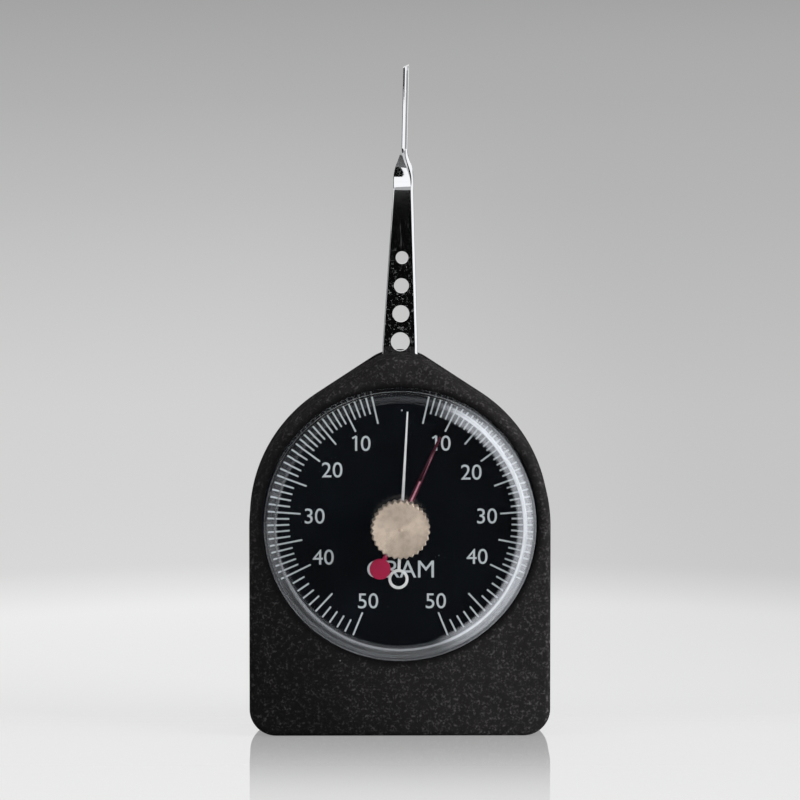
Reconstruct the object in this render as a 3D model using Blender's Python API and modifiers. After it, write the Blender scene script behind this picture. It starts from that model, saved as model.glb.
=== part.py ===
"""Dial force gauge: a lever gauge whose sprung feeler arm turns a pointer through a gear pair.

Everything hangs under one empty, front_view, in which x is right, y is up and z is towards
the person who reads the dial, so levels are distances in front of the case's middle plane.
The origin is the middle of the base.
"""
import math

import bpy
import bmesh
from mathutils import Matrix

MM = 0.001
MERGE = 0.01 * MM

# Fits
SEAT_GAP = 0.3 * MM          # between faces that rest on each other
RUN_GAP = 0.1 * MM           # round a shaft in its bore, and round a pressed bush
CUT_OVERRUN = 1.0 * MM       # how far a cutter runs past the face it leaves

# Facets round a full turn
BIG_STEPS = 60
ROUND_STEPS = 20
SMALL_STEPS = 12

# Case
CASE_WIDTH = 62.0 * MM
CASE_DEPTH = 18.0 * MM
DIAL_HEIGHT = 44.0 * MM
HEAD_DROP = 0.5 * MM         # middle of the round head, below the dial's middle
CASE_SLOPE = math.radians(32)
APEX_RADIUS = 10.0 * MM
BASE_CORNER_RADIUS = 5.0 * MM
CASE_WALL = 1.8 * MM
FRONT_WALL = 2.0 * MM
COVER_THICKNESS = 1.9 * MM
CASE_EDGE_RADIUS = 1.3 * MM
COVER_EDGE_RADIUS = 0.7 * MM
BOSS_RADIUS = 2.4 * MM
BOSS_SINK = 0.6 * MM         # how far a boss runs into the wall that carries it
UPPER_BOSS_ANGLE = math.radians(25)

# Crystal and dial
CRYSTAL_INSET = 3.0 * MM      # case's side to crystal
CRYSTAL_RISE = 4.0 * MM
CRYSTAL_THICKNESS = 2.0 * MM
SHOULDER_WIDTH = 2.2 * MM
SHOULDER_DROP = 2.0 * MM
FLANGE_THICKNESS = 1.0 * MM
CRYSTAL_CHAMFER = 1.0 * MM   # inside, where the wall meets the flat front
DIAL_THICKNESS = 0.5 * MM
DIAL_HOLE_RADIUS = 1.2 * MM
DIAL_FOOT_RADIUS = 0.6 * MM
DIAL_FOOT_LENGTH = 1.0 * MM
DIAL_FOOT_OFFSET = 9.0 * MM

# Gear pair
PIVOT_DROP = 7.26 * MM       # lever's pivot, below the top of the roof
PINION_TEETH = 14
SECTOR_TEETH = 140           # on the full circle that the sector is a slice of
SECTOR_SIDE_TEETH = 8        # teeth on the sector to each side of its middle tooth
MESH_PLAY = 0.05 * MM
PITCH_THICKNESS_SHARE = 0.42
TIP_THICKNESS_SHARE = 0.20
ROOT_THICKNESS_SHARE = 0.58
ADDENDUM_SHARE = 0.90        # of the module
DEDENDUM_SHARE = 1.25        # of the module
LEVER_LIMIT = math.radians(16.5)

# Movement plates and what stands between them
PLATE_THICKNESS = 1.2 * MM
PLATE_CORNER = 3.0 * MM
POST_RADIUS = 1.6 * MM
POST_INSET = 14.0 * MM       # the two side posts, from the case's sides
POST_RISE = 11.0 * MM        # the two side posts, above the dial's middle
LOW_POST_INSET = 6.9 * MM    # the low post, from the dial's rim
PILLAR_RADIUS = 1.3 * MM
PILLAR_WIDE_SHARE = 0.588    # of the side posts' distance from the middle
PILLAR_BELOW_PIVOT = 3.45 * MM
PILLAR_DROP = 8.0 * MM       # the low pillar, below the dial's middle
PLATE_TOP_RISE = 1.25 * MM   # centre of the plates' top corner, above the lever's pivot
BUSH_RADIUS = 1.6 * MM

# Screws: head radius, head height, shank radius, shank length, slot width and depth
COVER_SCREW = (2.0 * MM, 1.1 * MM, 1.0 * MM, 6.5 * MM, 0.5 * MM, 0.5 * MM)
POST_SCREW = (1.7 * MM, 1.0 * MM, 0.8 * MM, 5.5 * MM, 0.45 * MM, 0.4 * MM)
PLATE_SCREW = (1.5 * MM, 0.8 * MM, 0.8 * MM, 3.5 * MM, 0.4 * MM, 0.3 * MM)
SCREW_EDGE_SHARE = 0.25        # of a round head's height, broken off its edge
ARM_SCREW = (1.1 * MM, 0.6 * MM, 0.55 * MM, 3.0 * MM, 0.3 * MM, 0.25 * MM)
BRIDGE_HEAD_RADIUS = 1.6 * MM
BRIDGE_HEAD_HEIGHT = 0.8 * MM
BRIDGE_SHANK_RADIUS = 0.7 * MM
BRIDGE_SLOT_WIDTH = 0.4 * MM
BRIDGE_SLOT_DEPTH = 0.35 * MM
BRIDGE_REACH_SHARE = 0.4       # of the gap between the plates, filled by the shank

# Pointer arbor
ARBOR_RADIUS = 0.9 * MM
ARBOR_FRONT_RADIUS = 0.6 * MM
ARBOR_REAR_RADIUS = 0.4 * MM
PINION_MARGIN_SHARE = 0.083  # of the springs' room, by which the pinion outruns the sector
PIVOT_END_PLAY = 0.1 * MM

# Lever: staff, sector and hub
STAFF_RADIUS = 1.0 * MM
STAFF_FRONT_RADIUS = 0.5 * MM
STAFF_REAR_RADIUS = 0.8 * MM
SECTOR_THICKNESS = 1.0 * MM
SECTOR_CLEARANCE = 0.6 * MM  # sector to rear bridge
SECTOR_HUB_RADIUS = 3.4 * MM
SECTOR_RIM = 2.0 * MM
SECTOR_SPOKE = 1.7 * MM
HUB_FLANGE_RADIUS = 4.4 * MM
HUB_FLANGE_THICKNESS = 0.8 * MM
HUB_BOSS_RADIUS = 1.5 * MM
HUB_BOSS_RISE = 0.4 * MM     # how far the hub's boss stands out of the arm

# Feeler arm, heights above the lever's pivot
ARM_THICKNESS = 1.2 * MM
ARM_REAR_CLEARANCE = 1.5 * MM # arm to rear cover, where the hub's boss and screws stand
ARM_EDGE = 0.35 * MM
ARM_TAIL = 6.0 * MM
ARM_WIDTH = 7.3 * MM
ARM_NECK_WIDTH = 4.2 * MM
ARM_TIP_WIDTH = 3.4 * MM
ARM_TAPER_START = 8.4 * MM
ARM_TWIST_START = 41.5 * MM
ARM_TWIST_LENGTH = 8.5 * MM
ARM_REACH = 67.4 * MM
ARM_TIP_CLIP = 0.6 * MM
ARM_LEAN = math.radians(1.2)
ARM_SCREW_OFFSET = 3.2 * MM
ARM_SLOT_CLEARANCE = 0.5 * MM
HOLE_START = 9.4 * MM
HOLE_PITCH = 5.82 * MM
HOLE_RADII = (1.95 * MM, 1.75 * MM, 1.55 * MM, 1.38 * MM)

# Springs, collets and studs
SPRING_TURNS = 4
MAIN_SPRING_OUTER = 4.9 * MM
MAIN_SPRING_STRIP = 0.25 * MM
MAIN_SPRING_WIDTH_SHARE = 0.389  # of the room between the sector and the front plate
MAIN_COLLET_RADIUS = 1.6 * MM
MAIN_SPRING_LEVEL_SHARE = 0.222  # of that room, behind the spring
HAIRSPRING_OUTER = 5.0 * MM
HAIRSPRING_STRIP = 0.15 * MM
HAIRSPRING_WIDTH_SHARE = 0.167   # of the same room
HAIR_COLLET_RADIUS = 1.5 * MM
HAIRSPRING_LEVEL_SHARE = 0.361   # of that room, behind the hairspring
MAIN_STUD_ANGLE = math.radians(200)
HAIR_STUD_ANGLE = math.radians(-20)
STUD_RADIUS = 0.5 * MM
STUD_OVERLAP = 0.2 * MM       # how far a stud reaches past its spring's rear edge
STOP_PIN_RADIUS = 0.6 * MM
STOP_PIN_REACH = 12.0 * MM    # from the lever's pivot

# Pointers
POINTER_THICKNESS = 0.3 * MM
POINTER_HUB_RADIUS = 1.7 * MM
POINTER_HUB_HEIGHT = 1.1 * MM
POINTER_HUB_STEP = 0.45 * MM  # hub behind the blade
POINTER_LIFT = 1.5 * MM       # main pointer's hub above the dial
MAIN_TIP_INSET = 5.1 * MM     # crystal's outside to the pointer's tip
MAIN_ROOT_WIDTH = 0.9 * MM
MAIN_TIP_WIDTH = 0.4 * MM
MAIN_TAIL_WIDTH = 0.8 * MM
MAIN_RING_CENTRE = 11.7 * MM
MAIN_RING_RADIUS = 2.2 * MM
MAIN_RING_BAND = 0.7 * MM
MAIN_ANGLE = math.radians(3.1)
DRAG_TIP_INSET = 8.0 * MM     # crystal's outside to the pointer's tip
DRAG_ROOT_WIDTH = 1.3 * MM
DRAG_TIP_WIDTH = 0.7 * MM
DRAG_THICKNESS = 0.45 * MM
DRAG_FOLD_WIDTH = 0.28 * MM   # each sloping side of the blade
DRAG_NECK_WIDTH = 0.9 * MM
DRAG_DISC_CENTRE = 10.6 * MM
DRAG_DISC_RADIUS = 2.25 * MM
DRAG_HUB_RADIUS = 2.2 * MM
DRAG_HUB_HEIGHT = 0.8 * MM
DRAG_ANGLE = math.radians(23.3)

# Reset knob and its bearing in the crystal
KNOB_RADIUS = 6.1 * MM
KNOB_HEIGHT = 3.9 * MM
KNOB_TEETH = 40
KNURL_DEPTH = 0.3 * MM
KNOB_CHAMFER = 0.5 * MM
KNOB_RIM = 0.9 * MM
KNOB_DISH = 0.2 * MM
KNOB_BORE_DEPTH = 2.6 * MM
SPINDLE_RADIUS = 1.0 * MM
SPINDLE_GRIP = 2.3 * MM
SPINDLE_TAIL = 0.4 * MM       # spindle behind the drag pointer
BEARING_RADIUS = 2.0 * MM
BEARING_FLANGE_RADIUS = 3.2 * MM
BEARING_FLANGE = 0.6 * MM
WASHER_INNER = 2.6 * MM
WASHER_OUTER = 4.6 * MM
WASHER_THICKNESS = 0.2 * MM
WASHER_DISH = 0.3 * MM

# Levels from the front face back
CASE_FRONT = CASE_DEPTH / 2
CASE_BACK = -CASE_DEPTH / 2
COVER_INNER = CASE_BACK + COVER_THICKNESS
BODY_REAR = COVER_INNER + SEAT_GAP
WALL_INNER = CASE_FRONT - FRONT_WALL
FLANGE_FRONT = WALL_INNER - SEAT_GAP
FLANGE_BACK = FLANGE_FRONT - FLANGE_THICKNESS
DIAL_FRONT = FLANGE_BACK - SEAT_GAP
DIAL_BACK = DIAL_FRONT - DIAL_THICKNESS
PLATE_FRONT = DIAL_BACK - SEAT_GAP
PLATE_BACK = PLATE_FRONT - PLATE_THICKNESS

# Levels from the rear cover forwards
ARM_BACK = COVER_INNER + ARM_REAR_CLEARANCE
ARM_FRONT = ARM_BACK + ARM_THICKNESS
ARM_LEVEL = (ARM_FRONT + ARM_BACK) / 2
HUB_BACK = ARM_FRONT + SEAT_GAP
HUB_FRONT = HUB_BACK + HUB_FLANGE_THICKNESS
BRIDGE_BACK = HUB_FRONT + SEAT_GAP
BRIDGE_FRONT = BRIDGE_BACK + PLATE_THICKNESS
SECTOR_BACK = BRIDGE_FRONT + SECTOR_CLEARANCE
SECTOR_FRONT = SECTOR_BACK + SECTOR_THICKNESS
SPRING_ROOM = PLATE_BACK - SECTOR_FRONT
PINION_MARGIN = PINION_MARGIN_SHARE * SPRING_ROOM
BRIDGE_REACH = BRIDGE_REACH_SHARE * (PLATE_BACK - BRIDGE_FRONT)
BRIDGE_SCREW = (
    BRIDGE_HEAD_RADIUS, BRIDGE_HEAD_HEIGHT, BRIDGE_SHANK_RADIUS,
    BRIDGE_HEAD_HEIGHT + SEAT_GAP + PLATE_THICKNESS + BRIDGE_REACH,
    BRIDGE_SLOT_WIDTH, BRIDGE_SLOT_DEPTH,
)

# Levels from the dial forwards
CRYSTAL_FRONT = CASE_FRONT + CRYSTAL_RISE
CRYSTAL_INNER = CRYSTAL_FRONT - CRYSTAL_THICKNESS
POINTER_BACK = DIAL_FRONT + POINTER_LIFT
POINTER_FRONT = POINTER_BACK + POINTER_HUB_HEIGHT
BEARING_FRONT = CRYSTAL_INNER - SEAT_GAP
BEARING_BACK = BEARING_FRONT - BEARING_FLANGE
DRAG_FRONT = BEARING_BACK - SEAT_GAP
DRAG_BACK = DRAG_FRONT - DRAG_HUB_HEIGHT
WASHER_BACK = CRYSTAL_FRONT + SEAT_GAP
KNOB_BACK = WASHER_BACK + WASHER_THICKNESS + WASHER_DISH + SEAT_GAP
KNOB_FRONT = KNOB_BACK + KNOB_HEIGHT

# Places in the front view
CASE_HALF = CASE_WIDTH / 2
FLANGE_RADIUS = CASE_HALF - CASE_WALL - SEAT_GAP
CRYSTAL_RADIUS = CASE_HALF - CRYSTAL_INSET
MAIN_REACH = CRYSTAL_RADIUS - MAIN_TIP_INSET
DRAG_REACH = CRYSTAL_RADIUS - DRAG_TIP_INSET
APEX_RISE = (CASE_HALF - APEX_RADIUS) / math.cos(CASE_SLOPE)
PIVOT_HEIGHT = DIAL_HEIGHT - HEAD_DROP + APEX_RISE + APEX_RADIUS - PIVOT_DROP
MODULE = 2 * (PIVOT_HEIGHT - DIAL_HEIGHT - MESH_PLAY) / (PINION_TEETH + SECTOR_TEETH)
PINION_RADIUS = MODULE * PINION_TEETH / 2
SECTOR_RADIUS = MODULE * SECTOR_TEETH / 2
PILLAR_HEIGHT = PIVOT_HEIGHT - PILLAR_BELOW_PIVOT
POST_WIDE = CASE_HALF - POST_INSET
PILLAR_WIDE = PILLAR_WIDE_SHARE * POST_WIDE
LOW_POST_HEIGHT = DIAL_HEIGHT - FLANGE_RADIUS + LOW_POST_INSET
PLATE_TOP = PIVOT_HEIGHT + PLATE_TOP_RISE
POSTS = (
    (-POST_WIDE, DIAL_HEIGHT + POST_RISE),
    (POST_WIDE, DIAL_HEIGHT + POST_RISE),
    (0, LOW_POST_HEIGHT),
)
PILLARS = (
    (-PILLAR_WIDE, PILLAR_HEIGHT),
    (PILLAR_WIDE, PILLAR_HEIGHT),
    (0, DIAL_HEIGHT - PILLAR_DROP),
)
UPPER_BOSS_REACH = CASE_HALF - CASE_WALL + BOSS_SINK - BOSS_RADIUS
UPPER_BOSS_X = UPPER_BOSS_REACH * math.cos(UPPER_BOSS_ANGLE)
UPPER_BOSS_Y = DIAL_HEIGHT + UPPER_BOSS_REACH * math.sin(UPPER_BOSS_ANGLE)
LOWER_BOSS_INSET = CASE_WALL - BOSS_SINK + BOSS_RADIUS + SEAT_GAP
LOWER_BOSS_X = CASE_HALF - LOWER_BOSS_INSET
LOWER_BOSS_Y = LOWER_BOSS_INSET
COVER_BOSSES = (
    (-LOWER_BOSS_X, LOWER_BOSS_Y),
    (LOWER_BOSS_X, LOWER_BOSS_Y),
    (-UPPER_BOSS_X, UPPER_BOSS_Y),
    (UPPER_BOSS_X, UPPER_BOSS_Y),
)


def clear_scene():
    for obj in list(bpy.data.objects):
        bpy.data.objects.remove(obj, do_unlink=True)


clear_scene()
PARTS = bpy.data.collections.new("force_gauge")
CUTTERS = bpy.data.collections.new("cutters")
bpy.context.scene.collection.children.link(PARTS)
bpy.context.scene.collection.children.link(CUTTERS)


def material(name, colour, roughness, metallic=0.0, alpha=1.0):
    made = bpy.data.materials.new(name)
    made.use_nodes = True
    shader = made.node_tree.nodes["Principled BSDF"]
    shader.inputs["Base Color"].default_value = (*colour, 1.0)
    shader.inputs["Roughness"].default_value = roughness
    shader.inputs["Metallic"].default_value = metallic
    shader.inputs["Alpha"].default_value = alpha
    return made


CASE_PAINT = material("case_paint", (0.012, 0.012, 0.013), 0.6)
ACRYLIC = material("clear_acrylic", (0.95, 0.95, 0.95), 0.05, alpha=0.25)
DIAL_PAINT = material("dial_paint", (0.01, 0.01, 0.014), 0.5)
WHITE_PAINT = material("white_paint", (0.85, 0.85, 0.83), 0.45)
RED_PAINT = material("red_paint", (0.40, 0.02, 0.08), 0.4)
NICKEL = material("nickelled_brass", (0.62, 0.50, 0.38), 0.3, 1.0)
CHROME = material("chromed_steel", (0.55, 0.56, 0.57), 0.15, 1.0)
STEEL = material("bright_steel", (0.45, 0.45, 0.46), 0.3, 1.0)
BRASS = material("brass", (0.55, 0.38, 0.14), 0.35, 1.0)
BRONZE = material("spring_bronze", (0.45, 0.25, 0.10), 0.35, 1.0)


def empty(name, parent=None, at=(0, 0), turn_x=0.0):
    made = bpy.data.objects.new(name, None)
    made.location = (at[0], at[1], 0)
    made.rotation_euler.x = turn_x
    made.parent = parent
    PARTS.objects.link(made)
    return made


FRONT_VIEW = empty("front_view", turn_x=math.radians(90))
LEVER_AXIS = empty("lever_axis", FRONT_VIEW, (0, PIVOT_HEIGHT))
POINTER_AXIS = empty("pointer_axis", FRONT_VIEW, (0, DIAL_HEIGHT))
RESET_AXIS = empty("reset_axis", FRONT_VIEW, (0, DIAL_HEIGHT))
DIAL_AXIS = empty("dial_axis", FRONT_VIEW, (0, DIAL_HEIGHT))
PIVOT_AXIS = empty("pivot_axis", FRONT_VIEW, (0, PIVOT_HEIGHT))


def placed(name, data, finish, parent, at=(0, 0), level=0.0, turn=0.0, rear=False):
    """A part when it has a finish, else a cutter; turn is clockwise as the dial is read."""
    made = bpy.data.objects.new(name, data)
    made.parent = parent
    made.location = (at[0], at[1], level)
    made.rotation_euler = (math.pi if rear else 0, 0, -turn)
    if finish:
        made.data.materials.clear()
        made.data.materials.append(finish)
        PARTS.objects.link(made)
    else:
        made.hide_render = True
        made.display_type = "WIRE"
        CUTTERS.objects.link(made)
    return made


def smooth(mesh):
    mesh.shade_smooth()
    mesh.set_sharp_from_angle(angle=math.radians(35))


def boolean(target, other, operation):
    step = target.modifiers.new(other.name, "BOOLEAN")
    step.operation = operation
    step.object = other
    step.solver = "EXACT"


def cut(target, *cutters):
    for cutter in cutters:
        boolean(target, cutter, "DIFFERENCE")
    return target


def join(target, *others):
    for other in others:
        boolean(target, other, "UNION")
    return target


def turned(name, profile, finish, parent, segments=ROUND_STEPS, bored=False, **place):
    """Turn (radius, level) points, listed down the outside from the front, about the axis."""
    mesh = bpy.data.meshes.new(name)
    shape = bmesh.new()
    verts = [shape.verts.new((radius, 0, level)) for radius, level in profile]
    for first, second in zip(verts, verts[1:]):
        shape.edges.new((first, second))
    if bored:
        shape.edges.new((verts[-1], verts[0]))
    shape.to_mesh(mesh)
    shape.free()
    made = placed(name, mesh, finish, parent, **place)
    screw = made.modifiers.new("turn", "SCREW")
    screw.steps = segments
    screw.render_steps = segments
    screw.use_merge_vertices = True
    screw.merge_threshold = MERGE
    screw.use_smooth_shade = finish is not None
    return made


def ring(name, inner, outer, back, front, finish, parent, **place):
    profile = [(inner, front), (outer, front), (outer, back), (inner, back)]
    return turned(name, profile, finish, parent, bored=True, **place)


def rod(name, radius, back, front, finish, parent, **place):
    profile = [(0, front), (radius, front), (radius, back), (0, back)]
    return turned(name, profile, finish, parent, **place)


def arc(centre, radius, start, end, steps):
    """Points on an arc, angles in radians anticlockwise from x."""
    points = []
    for step in range(steps + 1):
        angle = start + (end - start) * step / steps
        points.append((centre[0] + radius * math.cos(angle), centre[1] + radius * math.sin(angle)))
    return points


def circle(centre, radius, steps=ROUND_STEPS):
    return arc(centre, radius, 0, math.tau, steps)[:-1]


def outline_mesh(name, outlines, back, front):
    """A flat plate between two levels, its first outline outside and the rest as holes."""
    flat = bpy.data.curves.new(name, "CURVE")
    flat.dimensions = "2D"
    flat.fill_mode = "BOTH"
    flat.extrude = (front - back) / 2
    for points in outlines:
        spline = flat.splines.new("POLY")
        spline.points.add(len(points) - 1)
        for point, (x, y) in zip(spline.points, points):
            point.co = (x, y, 0, 1)
        spline.use_cyclic_u = True
    holder = bpy.data.objects.new(name, flat)
    bpy.context.scene.collection.objects.link(holder)
    graph = bpy.context.evaluated_depsgraph_get()
    mesh = bpy.data.meshes.new_from_object(holder.evaluated_get(graph))
    bpy.data.objects.remove(holder)
    bpy.data.curves.remove(flat)
    shape = bmesh.new()
    shape.from_mesh(mesh)
    bmesh.ops.remove_doubles(shape, verts=shape.verts, dist=MERGE)
    bmesh.ops.translate(shape, verts=shape.verts, vec=(0, 0, (front + back) / 2))
    bmesh.ops.recalc_face_normals(shape, faces=shape.faces)
    shape.to_mesh(mesh)
    shape.free()
    return mesh


def plate(name, outlines, back, front, finish, parent, **place):
    mesh = outline_mesh(name, outlines, back, front)
    if finish:
        smooth(mesh)
    return placed(name, mesh, finish, parent, **place)


def round_edge(mesh, level, radius, steps):
    """Round the outer edge of a plate where it meets one of its flat faces."""
    shape = bmesh.new()
    shape.from_mesh(mesh)
    bmesh.ops.dissolve_limit(
        shape, angle_limit=math.radians(1), verts=shape.verts, edges=shape.edges
    )
    edges = [
        edge for edge in shape.edges
        if all(abs(vert.co.z - level) < MERGE for vert in edge.verts)
    ]
    bmesh.ops.bevel(
        shape, geom=edges, offset=radius, segments=steps, profile=0.5,
        affect="EDGES", clamp_overlap=False,
    )
    shape.to_mesh(mesh)
    shape.free()
    smooth(mesh)


def block(name, low, high, parent, **place):
    """A box cutter from its two corners."""
    mesh = bpy.data.meshes.new(name)
    shape = bmesh.new()
    size = [top - bottom for bottom, top in zip(low, high)]
    middle = [(top + bottom) / 2 for bottom, top in zip(low, high)]
    scale = Matrix.Diagonal((*size, 1))
    bmesh.ops.create_cube(shape, size=1, matrix=Matrix.Translation(middle) @ scale)
    shape.to_mesh(mesh)
    shape.free()
    return placed(name, mesh, None, parent, **place)


def screw_profile(size, flat_head, grow=0.0):
    """Profile of a screw whose head's top is at level zero and whose shank runs back."""
    head, height, shank, length = size[:4]
    if flat_head:
        top = CUT_OVERRUN if grow else 0
        land = height - (head - shank)
        return [
            (0, top), (head + grow, top), (head + grow, -land),
            (shank + grow, -height), (shank + grow, -length - grow), (0, -length - grow),
        ]
    edge = height * SCREW_EDGE_SHARE
    return [
        (0, 0), (head - edge, 0), (head, -edge), (head, -height),
        (shank, -height), (shank, -length), (0, -length),
    ]


def screw(name, size, parent, at, level, rear, flat_head=True, turn=0.0, finish=STEEL):
    """A slotted screw, its head facing the front, or the rear when rear is set."""
    place = dict(at=at, level=level, turn=turn, rear=rear)
    made = turned(name, screw_profile(size, flat_head), finish, parent, segments=SMALL_STEPS,
                  **place)
    head, slot_width, slot_depth = size[0], size[4], size[5]
    slot = block(
        name + "_slot", (-head - CUT_OVERRUN, -slot_width / 2, -slot_depth),
        (head + CUT_OVERRUN, slot_width / 2, CUT_OVERRUN), parent, **place,
    )
    return cut(made, slot)


def screw_seat(name, size, parent, at, level, rear):
    """The cutter for a countersunk screw's hole."""
    return turned(
        name, screw_profile(size, True, SEAT_GAP), None, parent,
        segments=SMALL_STEPS, at=at, level=level, rear=rear,
    )


def case_outline(inset=0.0, drop=0.0):
    """The case's front view: a round head with a sloping roof above and square feet below."""
    half = CASE_HALF - inset
    apex = APEX_RADIUS - inset
    corner = BASE_CORNER_RADIUS - inset
    side = math.pi / 2 - CASE_SLOPE
    corner_x = CASE_HALF - BASE_CORNER_RADIUS
    corner_y = BASE_CORNER_RADIUS
    head = DIAL_HEIGHT - drop
    points = arc((corner_x, corner_y), corner, -math.pi / 2, 0, 6)
    points += arc((0, head), half, 0, side, 12)
    points += arc((0, head + APEX_RISE), apex, side, math.pi - side, 8)
    points += arc((0, head), half, math.pi - side, math.pi, 12)
    points += arc((-corner_x, corner_y), corner, math.pi, math.pi * 3 / 2, 6)
    return points


def rounded_hull(centres, radius, steps=6):
    """The outline round equal circles, given anticlockwise and convex."""
    points = []
    count = len(centres)
    for index, centre in enumerate(centres):
        before = centres[index - 1]
        after = centres[(index + 1) % count]
        start = math.atan2(centre[1] - before[1], centre[0] - before[0]) - math.pi / 2
        end = math.atan2(after[1] - centre[1], after[0] - centre[0]) - math.pi / 2
        while end < start:
            end += math.tau
        points += arc(centre, radius, start, end, steps)
    return points


def polar(radius, angle):
    return (radius * math.cos(angle), radius * math.sin(angle))


def tooth(pitch_radius, angle):
    """One gear tooth, listed anticlockwise."""
    root = pitch_radius - DEDENDUM_SHARE * MODULE
    tip = pitch_radius + ADDENDUM_SHARE * MODULE
    half_pitch = math.pi * MODULE / 2
    flank = [
        (root, ROOT_THICKNESS_SHARE * half_pitch / root),
        (pitch_radius, PITCH_THICKNESS_SHARE * half_pitch / pitch_radius),
        (tip, TIP_THICKNESS_SHARE * half_pitch / tip),
    ]
    points = [polar(radius, angle - half) for radius, half in flank]
    points += [polar(radius, angle + half) for radius, half in reversed(flank)]
    return points


def make_front_case():
    mesh = outline_mesh("front_case", [case_outline(0, HEAD_DROP)], BODY_REAR, CASE_FRONT)
    round_edge(mesh, CASE_FRONT, CASE_EDGE_RADIUS, 3)
    case = placed("front_case", mesh, CASE_PAINT, FRONT_VIEW)
    cavity = plate(
        "case_cavity", [case_outline(CASE_WALL)], BODY_REAR - CUT_OVERRUN, WALL_INNER,
        None, FRONT_VIEW,
    )
    window = rod(
        "case_window", CRYSTAL_RADIUS + SEAT_GAP, WALL_INNER - CUT_OVERRUN,
        CASE_FRONT + CUT_OVERRUN, None, DIAL_AXIS, segments=BIG_STEPS,
    )
    cut(case, cavity, window)
    rear = BODY_REAR + SEAT_GAP
    bore = COVER_SCREW[2] + SEAT_GAP
    bore_end = CASE_BACK + COVER_SCREW[3] + SEAT_GAP
    for index, (x, y) in enumerate(COVER_BOSSES):
        upper = y > DIAL_HEIGHT
        front = PLATE_FRONT if upper else WALL_INNER + FRONT_WALL / 2
        profile = [
            (0, front), (BOSS_RADIUS, front), (BOSS_RADIUS, rear),
            (bore, rear), (bore, bore_end), (0, bore_end),
        ]
        join(case, turned(f"case_boss_{index}", profile, None, FRONT_VIEW, at=(x, y)))
    swing = LEVER_LIMIT + ARM_LEAN
    half = PIVOT_DROP * math.sin(swing) + ARM_WIDTH / 2 * math.cos(swing) + ARM_SLOT_CLEARANCE
    slot = block(
        "arm_slot", (-half, 0, BODY_REAR - CUT_OVERRUN),
        (half, PIVOT_DROP + CUT_OVERRUN, ARM_FRONT + ARM_SLOT_CLEARANCE), PIVOT_AXIS,
    )
    return cut(case, slot)


def make_rear_cover():
    mesh = outline_mesh("rear_cover", [case_outline(0, HEAD_DROP)], CASE_BACK, COVER_INNER)
    round_edge(mesh, CASE_BACK, COVER_EDGE_RADIUS, 2)
    cover = placed("rear_cover", mesh, CASE_PAINT, FRONT_VIEW)
    for index, at in enumerate(COVER_BOSSES):
        cut(cover, screw_seat(f"cover_seat_{index}", COVER_SCREW, FRONT_VIEW, at, CASE_BACK, True))
        screw(f"cover_screw_{index + 1}", COVER_SCREW, FRONT_VIEW, at, CASE_BACK, True,
              turn=math.pi * index / len(COVER_BOSSES))
    for index, at in enumerate(POSTS):
        cut(cover, screw_seat(f"post_seat_{index}", POST_SCREW, FRONT_VIEW, at, CASE_BACK, True))
        screw(f"post_screw_{index + 1}", POST_SCREW, FRONT_VIEW, at, CASE_BACK, True,
              turn=math.pi * index / len(POSTS))
    return cover


def make_crystal():
    hole = BEARING_RADIUS + RUN_GAP
    inner = CRYSTAL_RADIUS - CRYSTAL_THICKNESS
    shoulder_start = CRYSTAL_RADIUS - SHOULDER_WIDTH
    steps = 3
    profile = [(hole, CRYSTAL_FRONT)]
    for step in range(steps + 1):
        angle = math.pi / 2 * step / steps
        profile.append((
            shoulder_start + SHOULDER_WIDTH * math.sin(angle),
            CRYSTAL_FRONT - SHOULDER_DROP * (1 - math.cos(angle)),
        ))
    profile += [
        (CRYSTAL_RADIUS, FLANGE_FRONT), (FLANGE_RADIUS, FLANGE_FRONT),
        (FLANGE_RADIUS, FLANGE_BACK), (inner, FLANGE_BACK),
        (inner, CRYSTAL_INNER - CRYSTAL_CHAMFER), (inner - CRYSTAL_CHAMFER, CRYSTAL_INNER),
        (hole, CRYSTAL_INNER),
    ]
    return turned("crystal", profile, ACRYLIC, DIAL_AXIS, segments=BIG_STEPS, bored=True)


def make_dial():
    dial = turned(
        "dial_plate",
        [(DIAL_HOLE_RADIUS, DIAL_FRONT), (FLANGE_RADIUS, DIAL_FRONT),
         (FLANGE_RADIUS, DIAL_BACK), (DIAL_HOLE_RADIUS, DIAL_BACK)],
        DIAL_PAINT, DIAL_AXIS, segments=BIG_STEPS, bored=True,
    )
    for side in (-1, 1):
        foot = rod(f"dial_foot_{side}", DIAL_FOOT_RADIUS, DIAL_BACK - DIAL_FOOT_LENGTH,
                   DIAL_BACK + DIAL_THICKNESS / 2, None, DIAL_AXIS, segments=SMALL_STEPS,
                   at=(side * DIAL_FOOT_OFFSET, 0))
        join(dial, foot)
    return dial


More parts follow.
